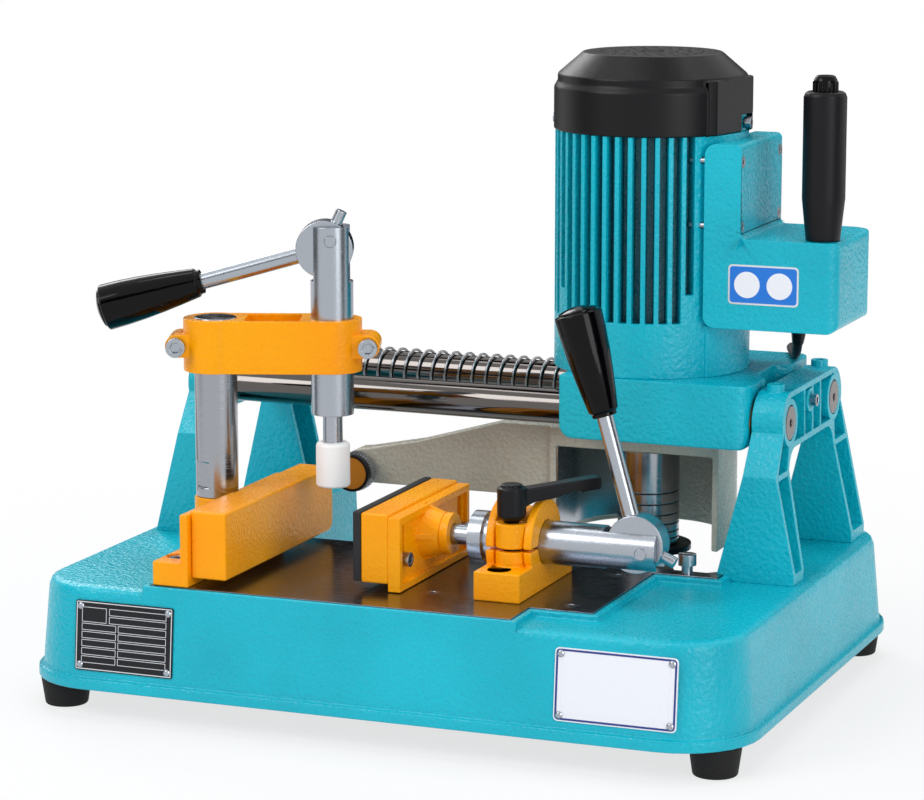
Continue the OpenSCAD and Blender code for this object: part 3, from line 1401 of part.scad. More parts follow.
module mains_cord() color(black) tube_along(cord_route, cord_r, cord_r, cord_sides);

module cord_coil() color(black) translate([coil_x, coil_y, 0]) {
    half = cord_r * coil_turns_wide;
    rotate_extrude() polygon([
        [coil_mid - half, 0], [coil_mid + half, 0],
        [coil_mid + half, 2 * cord_r * coil_layers], [coil_mid - half, 2 * cord_r * coil_layers]
    ]);
}

// The plug lies beside the coil, on the line by which the outer turn leaves it
module mains_plug() color(black) translate([coil_x, coil_y, 0]) rotate([0, 0, plug_turn])
    translate([coil_mid + 2 * cord_r, 0, 0]) {
        rod_y(0, [18.6, 40], 3 * cord_r, cord_r);
        rod_y(0, [31, 46], plug_r, 7);
        rod_y(0, [45, 80], plug_r, plug_r);
        for (x = [-9.5, 9.5]) rod_y(x, [79, 99], plug_r, 2.4);
    }

base_casting();
table_plate();
table_screws();
rubber_feet();
left_bracket();
right_bracket();
frame_bolts();
bar_set_screws();
front_guide_bar();
rear_guide_bar();
return_spring();
fixed_jaw_bracket();
fixed_jaw_block();
clamp_column();
clamp_block();
rating_plate();
front_badge();
plate_rivets();
mains_cord();
cord_coil();
mains_plug();
carriage_casting();
linear_bushes();
motor_housing();
stator();
motor_end_shield();
motor_bearings();
fan_cowl();
carriage_screws();
control_box();
run_capacitor();
grip_tube();
hand_grip();
cable_gland();
box_label();
chip_guard();
guard_liner();
arbor_shaft();
rotor_core();
cooling_fan();
spacer_rings();
end_flange();
push_button();
end_stop();
clamp_arm();
arm_screws();
upper_clamp_tube();
upper_cam_lever();
upper_lever_knob();
upper_plunger();
nylon_pad();
lower_clamp_tube();
lower_cam_lever();
lower_lever_knob();
lower_plunger();
push_plate();
jaw_pad();
rubber_face();
jaw_pad_screws();
lock_lever();
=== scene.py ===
import bmesh
import bpy
import json
import math
from mathutils import Matrix, Vector


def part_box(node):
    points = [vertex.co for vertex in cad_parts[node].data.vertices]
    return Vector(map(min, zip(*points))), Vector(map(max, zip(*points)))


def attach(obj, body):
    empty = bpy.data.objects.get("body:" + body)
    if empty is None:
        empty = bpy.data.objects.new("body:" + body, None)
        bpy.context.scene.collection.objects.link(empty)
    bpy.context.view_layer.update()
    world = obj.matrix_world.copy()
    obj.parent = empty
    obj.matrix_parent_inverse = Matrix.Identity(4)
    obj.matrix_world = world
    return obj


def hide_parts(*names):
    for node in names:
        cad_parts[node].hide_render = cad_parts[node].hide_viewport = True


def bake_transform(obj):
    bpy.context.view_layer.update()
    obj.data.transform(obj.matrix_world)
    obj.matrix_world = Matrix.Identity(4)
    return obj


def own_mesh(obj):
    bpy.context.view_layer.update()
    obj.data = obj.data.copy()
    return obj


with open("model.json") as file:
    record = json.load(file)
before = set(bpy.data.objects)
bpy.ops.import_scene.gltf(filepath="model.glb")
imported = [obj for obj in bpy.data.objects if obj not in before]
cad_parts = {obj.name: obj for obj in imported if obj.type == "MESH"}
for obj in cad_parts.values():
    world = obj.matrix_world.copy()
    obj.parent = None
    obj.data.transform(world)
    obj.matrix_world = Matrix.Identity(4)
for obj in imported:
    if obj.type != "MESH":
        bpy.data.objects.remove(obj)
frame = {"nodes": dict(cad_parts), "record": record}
scene = bpy.context.scene
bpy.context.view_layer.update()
nodes = frame["nodes"]
bodyOf = {node: body for body, names in frame["record"]["behaviour"]["bodies"].items() for node in names}
mm = 0.001
print("frame loaded:", len(nodes), "nodes")


# view and light
viewSettings = {
    "location": (0.8907, -2.2421, 0.6432),
    "azimuth": 21.84,
    "down": 10.31,
    "lens": 133.2,
}


def makeCamera():
    data = bpy.data.cameras.new("camera")
    data.lens = viewSettings["lens"]
    data.clip_start, data.clip_end = 0.05, 30
    camera = bpy.data.objects.new("camera", data)
    camera.location = viewSettings["location"]
    camera.rotation_euler = (
        math.radians(90 - viewSettings["down"]), 0, math.radians(viewSettings["azimuth"]))
    scene.collection.objects.link(camera)
    scene.camera = camera


lampSettings = {
    # name: (place, aim, width, height, watts)
    "key": ((-1.3, -1.7, 1.9), (0, 0, 0.15), 1.3, 1.3, 30),
    "fill": ((1.9, -1.3, 0.9), (0.1, 0, 0.2), 0.9, 1.6, 18),
    "top": ((0.1, 0.3, 2.2), (0, 0, 0.1), 1.8, 1.2, 22),
    "rim": ((-1.5, 1.5, 1.2), (0, 0, 0.2), 0.8, 1.2, 14),
}


def makeLamps():
    for name, (place, aim, width, height, watts) in lampSettings.items():
        data = bpy.data.lights.new(name, "AREA")
        data.shape = "RECTANGLE"
        data.size, data.size_y = width, height
        data.energy = watts
        lamp = bpy.data.objects.new(name, data)
        lamp.location = place
        lamp.rotation_euler = (Vector(aim) - Vector(place)).to_track_quat("-Z", "Y").to_euler()
        scene.collection.objects.link(lamp)


def addNode(tree, kind, **values):
    node = tree.nodes.new(kind)
    for key, value in values.items():
        setattr(node, key, value)
    return node


# 1 on the rays that show the background itself, in the picture or in a reflection
def seenDirectly(tree):
    path = addNode(tree, "ShaderNodeLightPath")
    either = addNode(tree, "ShaderNodeMath", operation="MAXIMUM")
    tree.links.new(path.outputs["Is Camera Ray"], either.inputs[0])
    tree.links.new(path.outputs["Is Glossy Ray"], either.inputs[1])
    anyOf = addNode(tree, "ShaderNodeMath", operation="MAXIMUM")
    tree.links.new(either.outputs[0], anyOf.inputs[0])
    tree.links.new(path.outputs["Is Transmission Ray"], anyOf.inputs[1])
    return anyOf.outputs[0]


def makeWorld():
    world = bpy.data.worlds.new("studio")
    scene.world = world
    world.use_nodes = True
    tree = world.node_tree
    tree.nodes.clear()
    out = addNode(tree, "ShaderNodeOutputWorld")
    soft = addNode(tree, "ShaderNodeBackground")
    soft.inputs["Color"].default_value = (0.93, 0.95, 1.0, 1)
    soft.inputs["Strength"].default_value = 0.42
    white = addNode(tree, "ShaderNodeBackground")
    white.inputs["Color"].default_value = (1, 1, 1, 1)
    white.inputs["Strength"].default_value = 1.0
    mix = addNode(tree, "ShaderNodeMixShader")
    tree.links.new(seenDirectly(tree), mix.inputs[0])
    tree.links.new(soft.outputs[0], mix.inputs[1])
    tree.links.new(white.outputs[0], mix.inputs[2])
    tree.links.new(mix.outputs[0], out.inputs[0])


def makeFloor():
    mesh = bpy.data.meshes.new("floor")
    size = 6
    corners = [(-size, -size, 0), (size, -size, 0), (size, size, 0), (-size, size, 0)]
    mesh.from_pydata(corners, [], [(0, 1, 2, 3)])
    floor = bpy.data.objects.new("floor", mesh)
    scene.collection.objects.link(floor)
    finish = bpy.data.materials.new("floorPaper")
    finish.use_nodes = True
    tree = finish.node_tree
    tree.nodes.clear()
    out = addNode(tree, "ShaderNodeOutputMaterial")
    paper = addNode(tree, "ShaderNodeBsdfDiffuse")
    paper.inputs["Color"].default_value = (0.8, 0.8, 0.81, 1)
    white = addNode(tree, "ShaderNodeEmission")
    white.inputs["Strength"].default_value = 1.0
    where = addNode(tree, "ShaderNodeTexCoord")
    away = addNode(tree, "ShaderNodeVectorMath", operation="LENGTH")
    fade = addNode(tree, "ShaderNodeMapRange")
    for label, value in (("From Min", 0.4), ("From Max", 0.95), ("To Min", 0.74), ("To Max", 1.0)):
        fade.inputs[label].default_value = value
    tree.links.new(where.outputs["Object"], away.inputs[0])
    tree.links.new(away.outputs["Value"], fade.inputs["Value"])
    share = addNode(tree, "ShaderNodeMath", operation="MULTIPLY")
    mix = addNode(tree, "ShaderNodeMixShader")
    tree.links.new(seenDirectly(tree), share.inputs[0])
    tree.links.new(fade.outputs["Result"], share.inputs[1])
    tree.links.new(share.outputs[0], mix.inputs[0])
    tree.links.new(paper.outputs[0], mix.inputs[1])
    tree.links.new(white.outputs[0], mix.inputs[2])
    tree.links.new(mix.outputs[0], out.inputs[0])
    mesh.materials.append(finish)


flagSettings = {
    # black cards that only reflections see: (place, aim, width, height)
    "left": ((-1.7, -0.7, 0.55), (0, 0, 0.2), 1.0, 1.7),
    "front": ((0.25, -2.2, 1.5), (0, 0, 0.2), 2.2, 0.55),
    "right": ((1.7, -0.15, 0.5), (0, 0, 0.2), 0.9, 1.7),
    "back": ((-0.62, 1.9, 0.5), (0, 0, 0.3), 3.6, 1.1),
    "over": ((0.1, 0.2, 1.5), (0, 0, 0.1), 1.6, 0.5),
}


def makeFlags():
    finish = bpy.data.materials.new("blackCard")
    finish.use_nodes = True
    shader = finish.node_tree.nodes["Principled BSDF"]
    shader.inputs["Base Color"].default_value = (0.004, 0.004, 0.004, 1)
    shader.inputs["Specular IOR Level"].default_value = 0
    for name, (place, aim, width, height) in flagSettings.items():
        mesh = bpy.data.meshes.new(name + "Flag")
        x, y = width / 2, height / 2
        mesh.from_pydata([(-x, -y, 0), (x, -y, 0), (x, y, 0), (-x, y, 0)], [], [(0, 1, 2, 3)])
        turn = (Vector(aim) - Vector(place)).to_track_quat("-Z", "Y").to_matrix().to_4x4()
        mesh.transform(Matrix.Translation(place) @ turn)
        mesh.materials.append(finish)
        flag = bpy.data.objects.new(name + "Flag", mesh)
        scene.collection.objects.link(flag)
        flag.visible_camera = False
        flag.visible_diffuse = False
        flag.visible_shadow = False


makeCamera()
makeLamps()
makeWorld()
makeFloor()
makeFlags()
scene.view_settings.view_transform = "Standard"
print("studio ready")


# materials
# a colour from 0 to 255 as the shader takes it
def linear(rgb):
    shares = [value / 255 for value in rgb]
    return tuple(c / 12.92 if c <= 0.04045 else ((c + 0.055) / 1.055) ** 2.4 for c in shares) + (1,)


def newFinish(name, colour, metallic=0.0, roughness=0.5, coat=0.0, coatRoughness=0.05):
    finish = bpy.data.materials.new(name)
    finish.use_nodes = True
    shader = finish.node_tree.nodes["Principled BSDF"]
    shader.inputs["Base Color"].default_value = linear(colour)
    shader.inputs["Metallic"].default_value = metallic
    shader.inputs["Roughness"].default_value = roughness
    shader.inputs["Coat Weight"].default_value = coat
    shader.inputs["Coat Roughness"].default_value = coatRoughness
    finish.diffuse_color = linear(colour)
    return finish, finish.node_tree, shader


def objectPlace(tree, stretch=(1, 1, 1)):
    place = addNode(tree, "ShaderNodeTexCoord")
    turn = addNode(tree, "ShaderNodeMapping")
    turn.inputs["Scale"].default_value = stretch
    tree.links.new(place.outputs["Object"], turn.inputs["Vector"])
    return turn.outputs["Vector"]


def noiseAt(tree, where, scale, detail=2.0, rough=0.5):
    noise = addNode(tree, "ShaderNodeTexNoise")
    noise.inputs["Scale"].default_value = scale
    noise.inputs["Detail"].default_value = detail
    noise.inputs["Roughness"].default_value = rough
    tree.links.new(where, noise.inputs["Vector"])
    return noise.outputs["Fac"]


def rampOn(tree, value, stops):
    ramp = addNode(tree, "ShaderNodeValToRGB")
    while len(ramp.color_ramp.elements) < len(stops):
        ramp.color_ramp.elements.new(0.5)
    for element, (place, colour) in zip(ramp.color_ramp.elements, stops):
        element.position = place
        element.color = colour if len(colour) == 4 else (*colour, 1)
    tree.links.new(value, ramp.inputs["Fac"])
    return ramp.outputs["Color"]


def bumpOn(tree, shader, height, strength, distance):
    bump = addNode(tree, "ShaderNodeBump")
    bump.inputs["Strength"].default_value = strength
    bump.inputs["Distance"].default_value = distance
    tree.links.new(height, bump.inputs["Height"])
    tree.links.new(bump.outputs["Normal"], shader.inputs["Normal"])
    return bump


def grey(value):
    return (value, value, value, 1)


def hammeredPaint(name, colour, light, dark, grain=430, strength=0.9, roughness=0.27, shine=0.36):
    finish, tree, shader = newFinish(name, colour, roughness=roughness)
    shader.inputs["Specular IOR Level"].default_value = shine
    where = objectPlace(tree)
    fine = noiseAt(tree, where, grain, 3, 0.55)
    wide = noiseAt(tree, where, 14, 3, 0.5)
    tint = rampOn(tree, wide, [(0.3, linear(dark)), (0.7, linear(light))])
    tree.links.new(tint, shader.inputs["Base Color"])
    rough = rampOn(tree, fine, [(0.35, grey(roughness + 0.1)), (0.65, grey(roughness - 0.08))])
    tree.links.new(rough, shader.inputs["Roughness"])
    cells = addNode(tree, "ShaderNodeTexVoronoi", feature="SMOOTH_F1")
    cells.inputs["Scale"].default_value = grain * 0.75
    tree.links.new(where, cells.inputs["Vector"])
    both = addNode(tree, "ShaderNodeMath", operation="ADD")
    tree.links.new(fine, both.inputs[0])
    tree.links.new(cells.outputs["Distance"], both.inputs[1])
    bumpOn(tree, shader, both.outputs[0], strength, 0.0006)
    return finish


def plainMetal(name, colour, roughness, grain=300, streak=(1, 1, 1), strength=0.08, spread=0.08):
    finish, tree, shader = newFinish(name, colour, metallic=1.0, roughness=roughness)
    where = objectPlace(tree, streak)
    fine = noiseAt(tree, where, grain, 3, 0.6)
    smoothest, roughest = max(roughness - spread, 0.02), roughness + spread
    rough = rampOn(tree, fine, [(0.3, grey(smoothest)), (0.7, grey(roughest))])
    tree.links.new(rough, shader.inputs["Roughness"])
    bumpOn(tree, shader, fine, strength, 0.00008)
    return finish


def moulded(name, colour, roughness, grain=900, strength=0.2, coat=0.0, shine=0.3):
    finish, tree, shader = newFinish(name, colour, roughness=roughness, coat=coat)
    shader.inputs["Specular IOR Level"].default_value = shine
    where = objectPlace(tree)
    fine = noiseAt(tree, where, grain, 2, 0.5)
    rough = rampOn(tree, fine, [(0.3, grey(max(roughness - 0.05, 0.02))), (0.7, grey(roughness + 0.05))])
    tree.links.new(rough, shader.inputs["Roughness"])
    if strength:
        bumpOn(tree, shader, fine, strength, 0.00015)
    return finish


teal = hammeredPaint("tealHammered", (4, 180, 200), (6, 186, 206), (2, 173, 193))
orange = hammeredPaint("orangeHammered", (255, 166, 0), (255, 171, 0), (255, 159, 0),
                       grain=520, strength=0.45, shine=0.22)
castGrey = hammeredPaint("greyHammered", (206, 202, 187), (213, 209, 194), (198, 194, 179),
                         grain=480, strength=0.9, shine=0.5)
zinc = plainMetal("zincPlate", (168, 174, 182), 0.25, grain=500, strength=0.015, spread=0.03)
turned = plainMetal("turnedSteel", (158, 162, 168), 0.2, grain=90, streak=(1, 1, 14), strength=0.15)
# hard chrome with its base colour kept dark: a painted dark reflection, standing in for dark surroundings
# mirrored in the bars
darkReflectionChrome = plainMetal("hardChromeDarkReflection", (96, 92, 90), 0.09, grain=60, strength=0.02, spread=0.02)
ground = plainMetal("groundSteel", (128, 134, 146), 0.22, grain=60, streak=(1, 26, 1), strength=0.3)
springWire = plainMetal("springWire", (150, 152, 156), 0.22, strength=0.05)
blackSteel = plainMetal("blackSteel", (38, 38, 42), 0.35)
bronze = plainMetal("bearingBronze", (196, 150, 90), 0.35)
castIron = plainMetal("statorSheet", (110, 104, 98), 0.5, grain=900, streak=(1, 1, 6), strength=0.4)
brightCan = plainMetal("drawnCan", (205, 206, 206), 0.3)
blackMoulded = moulded("blackMoulded", (12, 12, 15), 0.38, grain=900, strength=0.5, shine=0.22)
glossBlack = moulded("glossBlack", (4, 4, 6), 0.1, strength=0.0, shine=0.16)
gripRubber = moulded("gripRubber", (12, 12, 16), 0.42, grain=700, strength=0.3, shine=0.22)
footRubber = moulded("footRubber", (20, 20, 21), 0.7, grain=500, strength=0.4)
jawRubber = moulded("jawRubber", (42, 42, 44), 0.75, grain=500, strength=0.5)
cordSheath = moulded("cordSheath", (22, 22, 24), 0.5, grain=800, strength=0.15)
nylonWhite = moulded("nylonWhite", (255, 255, 255), 0.38, grain=400, strength=0.1)
plateBlack = moulded("plateBlack", (18, 19, 24), 0.35, strength=0.05)
plateWhite = moulded("plateWhite", (238, 240, 246), 0.3, strength=0.05, coat=0.3)
plateBlue = moulded("plateBlue", (34, 52, 128), 0.3, strength=0.05, coat=0.3)
plateSilver = plainMetal("plateSilver", (222, 226, 232), 0.32, strength=0.04)
stopCoat = moulded("stopCoat", (196, 128, 40), 0.4, grain=500, strength=0.1)
labelBlue = moulded("labelBlue", (24, 118, 214), 0.35, strength=0.05, coat=0.2)


# painted shade: the colour darkens towards the bottom of the slots round an axis, standing in for the shade
# deep between the fins
def slotShadePaint(name, centre, inside, outside, **values):
    finish = hammeredPaint(name, **values)
    tree = finish.node_tree
    shader = tree.nodes["Principled BSDF"]
    link = shader.inputs["Base Color"].links[0]
    where = addNode(tree, "ShaderNodeTexCoord")
    flat = addNode(tree, "ShaderNodeVectorMath", operation="MULTIPLY_ADD")
    flat.inputs[1].default_value = (1, 1, 0)
    flat.inputs[2].default_value = (-centre[0], -centre[1], 0)
    away = addNode(tree, "ShaderNodeVectorMath", operation="LENGTH")
    depth = addNode(tree, "ShaderNodeMapRange")
    for label, value in (("From Min", inside), ("From Max", outside), ("To Min", 0.3), ("To Max", 1.0)):
        depth.inputs[label].default_value = value
    shade = addNode(tree, "ShaderNodeVectorMath", operation="SCALE")
    tree.links.new(where.outputs["Object"], flat.inputs[0])
    tree.links.new(flat.outputs[0], away.inputs[0])
    tree.links.new(away.outputs["Value"], depth.inputs["Value"])
    tree.links.new(link.from_socket, shade.inputs[0])
    tree.links.new(depth.outputs["Result"], shade.inputs["Scale"])
    tree.links.new(shade.outputs[0], shader.inputs["Base Color"])
    return finish


ringLow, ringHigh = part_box("spacer_rings")
motorAxis = ((ringLow[0] + ringHigh[0]) / 2, (ringLow[1] + ringHigh[1]) / 2)
# teal of the motor fins, with painted shade darkening the bottom of the slots between them
tealFinsSlotShade = slotShadePaint("tealFinsSlotShade", motorAxis, 60.5 * mm, 66.5 * mm,
                     colour=(4, 180, 200), light=(6, 186, 206), dark=(2, 173, 193))
print("materials ready")


# tools
def newObject(name, mesh):
    piece = bpy.data.objects.new(name, mesh)
    scene.collection.objects.link(piece)
    return piece


def pieceFrom(name, work):
    mesh = bpy.data.meshes.new(name)
    work.to_mesh(mesh)
    work.free()
    return newObject(name, mesh)


def solidFrom(name, work):
    bmesh.ops.recalc_face_normals(work, faces=work.faces)
    return pieceFrom(name, work)


def smooth(mesh, degrees=38):
    mesh.shade_smooth()
    mesh.set_sharp_from_angle(angle=math.radians(degrees))


def settle(piece):
    graph = bpy.context.evaluated_depsgraph_get()
    mesh = bpy.data.meshes.new_from_object(piece.evaluated_get(graph))
    piece.modifiers.clear()
    piece.data = mesh
    return piece


def roundEdges(piece, width, segments=3, degrees=30):
    bevel = piece.modifiers.new("edges", "BEVEL")
    bevel.width = width
    bevel.segments = segments
    bevel.limit_method = "ANGLE"
    bevel.angle_limit = math.radians(degrees)
    bevel.use_clamp_overlap = False
    bevel.miter_outer = "MITER_ARC"
    return settle(piece)


def paint(piece, finish):
    piece.data.materials.clear()
    piece.data.materials.append(finish)
    for face in piece.data.polygons:
        face.material_index = 0
    return piece


def cleanCopy(node):
    mesh = nodes[node].data.copy()
    work = bmesh.new()
    work.from_mesh(mesh)
    bmesh.ops.remove_doubles(work, verts=work.verts, dist=2e-5)
    bmesh.ops.dissolve_limit(work, angle_limit=math.radians(0.5), verts=work.verts, edges=work.edges)
    work.to_mesh(mesh)
    work.free()
    return newObject(node + "Dressed", mesh)


# a CAD node with its edges broken and its own finish
def dress(node, finish, width=0.4, segments=2, degrees=30, smoothTo=38):
    piece = cleanCopy(node)
    if width:
        roundEdges(piece, width * mm, segments, degrees)
    smooth(piece.data, smoothTo)
    even = piece.modifiers.new("even", "WEIGHTED_NORMAL")
    even.keep_sharp = True
    settle(piece)
    paint(piece, finish)
    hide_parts(node)
    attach(piece, bodyOf[node])
    return piece


def addPiece(piece, finish, body, replaced=(), smoothTo=38):
    if smoothTo:
        smooth(piece.data, smoothTo)
    if finish:
        paint(piece, finish)
    if replaced:
        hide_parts(*replaced)
    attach(piece, body)
    return piece


# corners (x, y, radius) become arcs
def filleted(corners, closed=True, steps=5):
    points = []
    count = len(corners)
    for i, corner in enumerate(corners):
        here = Vector(corner[:2])
        radius = corner[2] if len(corner) > 2 else 0
        if not radius or (not closed and i in (0, count - 1)):
            points.append(tuple(here))
            continue
        before = (Vector(corners[i - 1][:2]) - here).normalized()
        after = (Vector(corners[(i + 1) % count][:2]) - here).normalized()
        half = before.angle(after) / 2
        reach = radius / math.tan(half)
        centre = here + (before + after).normalized() * radius / math.sin(half)
        first, last = here + before * reach - centre, here + after * reach - centre
        sweep = first.angle_signed(last)
        for k in range(steps + 1):
            turn = -sweep * k / steps
            x = first.x * math.cos(turn) - first.y * math.sin(turn)
            y = first.x * math.sin(turn) + first.y * math.cos(turn)
            points.append((centre.x + x, centre.y + y))
    return points


def frameFrom(axis):
    axis = Vector(axis).normalized()
    side = axis.orthogonal().normalized()
    return Matrix((side, axis.cross(side), axis)).transposed()


# turns a profile of (radius, height) about an axis through a point
def lathe(name, profile, origin=(0, 0, 0), axis=(0, 0, 1), sides=72):
    turn = frameFrom(axis)
    work = bmesh.new()
    rings = []
    for radius, height in profile:
        if radius < 1e-7:
            rings.append([work.verts.new(Vector(origin) + turn @ Vector((0, 0, height)))])
            continue
        angles = [2 * math.pi * k / sides for k in range(sides)]
        rings.append([work.verts.new(Vector(origin) + turn @ Vector((
            radius * math.cos(a), radius * math.sin(a), height))) for a in angles])
    for low, high in zip(rings, rings[1:]):
        for k in range(sides):
            n = (k + 1) % sides
            if len(low) == 1 and len(high) > 1:
                work.faces.new((low[0], high[k], high[n]))
            elif len(high) == 1 and len(low) > 1:
                work.faces.new((low[k], high[0], low[n]))
            elif len(low) > 1:
                work.faces.new((low[k], high[k], high[n], low[n]))
    return solidFrom(name, work)


# a flat outline pushed along an axis: place maps (u, v, depth) to a point
def slab(name, outline, low, high, place):
    work = bmesh.new()
    first = [work.verts.new(place(u, v, low)) for u, v in outline]
    last = [work.verts.new(place(u, v, high)) for u, v in outline]
    work.faces.new(first)
    work.faces.new(last[::-1])
    for i in range(len(outline)):
        n = (i + 1) % len(outline)
        work.faces.new((first[i], last[i], last[n], first[n]))
    return solidFrom(name, work)


def rectangle(x0, x1, y0, y1, radius=0.0):
    return filleted([(x0, y0, radius), (x1, y0, radius), (x1, y1, radius), (x0, y1, radius)])


def join(name, pieces):
    work = bmesh.new()
    for piece in pieces:
        work.from_mesh(piece.data)
        bpy.data.objects.remove(piece)
    return pieceFrom(name, work)


# a raised line round a box
def edging(flat, box, width, radius, low, high):
    outer = rectangle(*box, radius)
    innerRadius = max(radius - width, 0.05 * mm)
    inner = rectangle(box[0] + width, box[1] - width, box[2] + width, box[3] - width, innerRadius)
    work = bmesh.new()
    rings = [[work.verts.new(flat["place"](u, v, d)) for u, v in line]
             for line, d in ((outer, low), (outer, high), (inner, high), (inner, low))]
    count = len(outer)
    for ring, after in zip(rings, rings[1:] + rings[:1]):
        for k in range(count):
            n = (k + 1) % count
            work.faces.new((ring[k], ring[n], after[n], after[k]))
    return solidFrom("edging", work)


# parts joined into one piece, each with its own finish
def joinPainted(name, parts):
    work = bmesh.new()
    finishes = []
    for piece, finish in parts:
        count = len(work.faces)
        work.from_mesh(piece.data)
        work.faces.ensure_lookup_table()
        if finish not in finishes:
            finishes.append(finish)
        for face in work.faces[count:]:
            face.material_index = finishes.index(finish)
        bpy.data.objects.remove(piece)
    joined = pieceFrom(name, work)
    for finish in finishes:
        joined.data.materials.append(finish)
    return joined


def faceOut(piece):
    work = bmesh.new()
    work.from_mesh(piece.data)
    bmesh.ops.recalc_face_normals(work, faces=work.faces)
    work.to_mesh(piece.data)
    work.free()
    return piece


# a node tree with named inputs: label -> (socket kind, value)
def newTree(name, inputs):
    tree = bpy.data.node_groups.new(name, "GeometryNodeTree")
    tree.interface.new_socket("Geometry", in_out="INPUT", socket_type="NodeSocketGeometry")
    for label, (kind, value) in inputs.items():
        socket = tree.interface.new_socket(label, in_out="INPUT", socket_type="NodeSocket" + kind)
        if value is not None:
            socket.default_value = value
    tree.interface.new_socket("Geometry", in_out="OUTPUT", socket_type="NodeSocketGeometry")
    return tree, tree.nodes.new("NodeGroupInput"), tree.nodes.new("NodeGroupOutput")


def endTree(tree, geometry, last, finish):
    solid = tree.nodes.new("GeometryNodeRealizeInstances")
    colour = tree.nodes.new("GeometryNodeSetMaterial")
    colour.inputs["Material"].default_value = finish
    tree.links.new(geometry, solid.inputs[0])
    tree.links.new(solid.outputs[0], colour.inputs["Geometry"])
    tree.links.new(colour.outputs[0], last.inputs[0])


# runs a tree on a mesh and keeps the plain result
def grow(name, tree, mesh, settings):
    piece = newObject(name, mesh)
    modifier = piece.modifiers.new(name, "NODES")
    modifier.node_group = tree
    for item in tree.interface.items_tree:
        if item.item_type == "SOCKET" and item.in_out == "INPUT" and item.name in settings:
            modifier[item.identifier] = settings[item.name]
    return faceOut(settle(piece))


def pointMesh(name, points, joined=False):
    mesh = bpy.data.meshes.new(name)
    edges = [(k, k + 1) for k in range(len(points) - 1)] if joined else []
    mesh.from_pydata([tuple(p) for p in points], edges, [])
    return mesh


# a round section swept along a line
def sweepTree(name, finish):
    tree, first, last = newTree(name, {"Radius": ("Float", 0.001), "Sides": ("Int", 12)})
    line = tree.nodes.new("GeometryNodeMeshToCurve")
    ring = tree.nodes.new("GeometryNodeCurvePrimitiveCircle")
    tube = tree.nodes.new("GeometryNodeCurveToMesh")
    tube.inputs["Fill Caps"].default_value = True
    tree.links.new(first.outputs["Geometry"], line.inputs["Mesh"])
    tree.links.new(first.outputs["Sides"], ring.inputs["Resolution"])
    tree.links.new(first.outputs["Radius"], ring.inputs["Radius"])
    tree.links.new(line.outputs[0], tube.inputs["Curve"])
    tree.links.new(ring.outputs["Curve"], tube.inputs["Profile Curve"])
    endTree(tree, tube.outputs[0], last, finish)
    return tree


# a coil of wire along x
def coilTree(name, finish):
    tree, first, last = newTree(name, {
        "Wire": ("Float", 0.001), "Sides": ("Int", 8), "Turns": ("Float", 10.0), "Steps": ("Int", 30),
        "Radius": ("Float", 0.01), "Length": ("Float", 0.1), "Place": ("Vector", None)})
    spiral = tree.nodes.new("GeometryNodeCurveSpiral")
    ring = tree.nodes.new("GeometryNodeCurvePrimitiveCircle")
    tube = tree.nodes.new("GeometryNodeCurveToMesh")
    tube.inputs["Fill Caps"].default_value = True
    move = tree.nodes.new("GeometryNodeTransform")
    move.inputs["Rotation"].default_value = (0, math.pi / 2, 0)
    for label, socket in (("Turns", "Rotations"), ("Steps", "Resolution"), ("Radius", "Start Radius"),
                          ("Radius", "End Radius"), ("Length", "Height")):
        tree.links.new(first.outputs[label], spiral.inputs[socket])
    tree.links.new(first.outputs["Sides"], ring.inputs["Resolution"])
    tree.links.new(first.outputs["Wire"], ring.inputs["Radius"])
    tree.links.new(spiral.outputs[0], tube.inputs["Curve"])
    tree.links.new(ring.outputs["Curve"], tube.inputs["Profile Curve"])
    tree.links.new(tube.outputs[0], move.inputs["Geometry"])
    tree.links.new(first.outputs["Place"], move.inputs["Translation"])
    endTree(tree, move.outputs[0], last, finish)
    return tree


# one head on every point
def headTree(name, finish):
    tree, first, last = newTree(name, {"Head": ("Object", None), "Turn": ("Vector", None)})
    head = tree.nodes.new("GeometryNodeObjectInfo")
    head.inputs["As Instance"].default_value = True
    dots = tree.nodes.new("GeometryNodeMeshToPoints")
    placed = tree.nodes.new("GeometryNodeInstanceOnPoints")
    tree.links.new(first.outputs["Head"], head.inputs["Object"])
    tree.links.new(first.outputs["Geometry"], dots.inputs["Mesh"])
    tree.links.new(dots.outputs[0], placed.inputs["Points"])
    tree.links.new(head.outputs["Geometry"], placed.inputs["Instance"])
    tree.links.new(first.outputs["Turn"], placed.inputs["Rotation"])
    endTree(tree, placed.outputs[0], last, finish)
    return tree


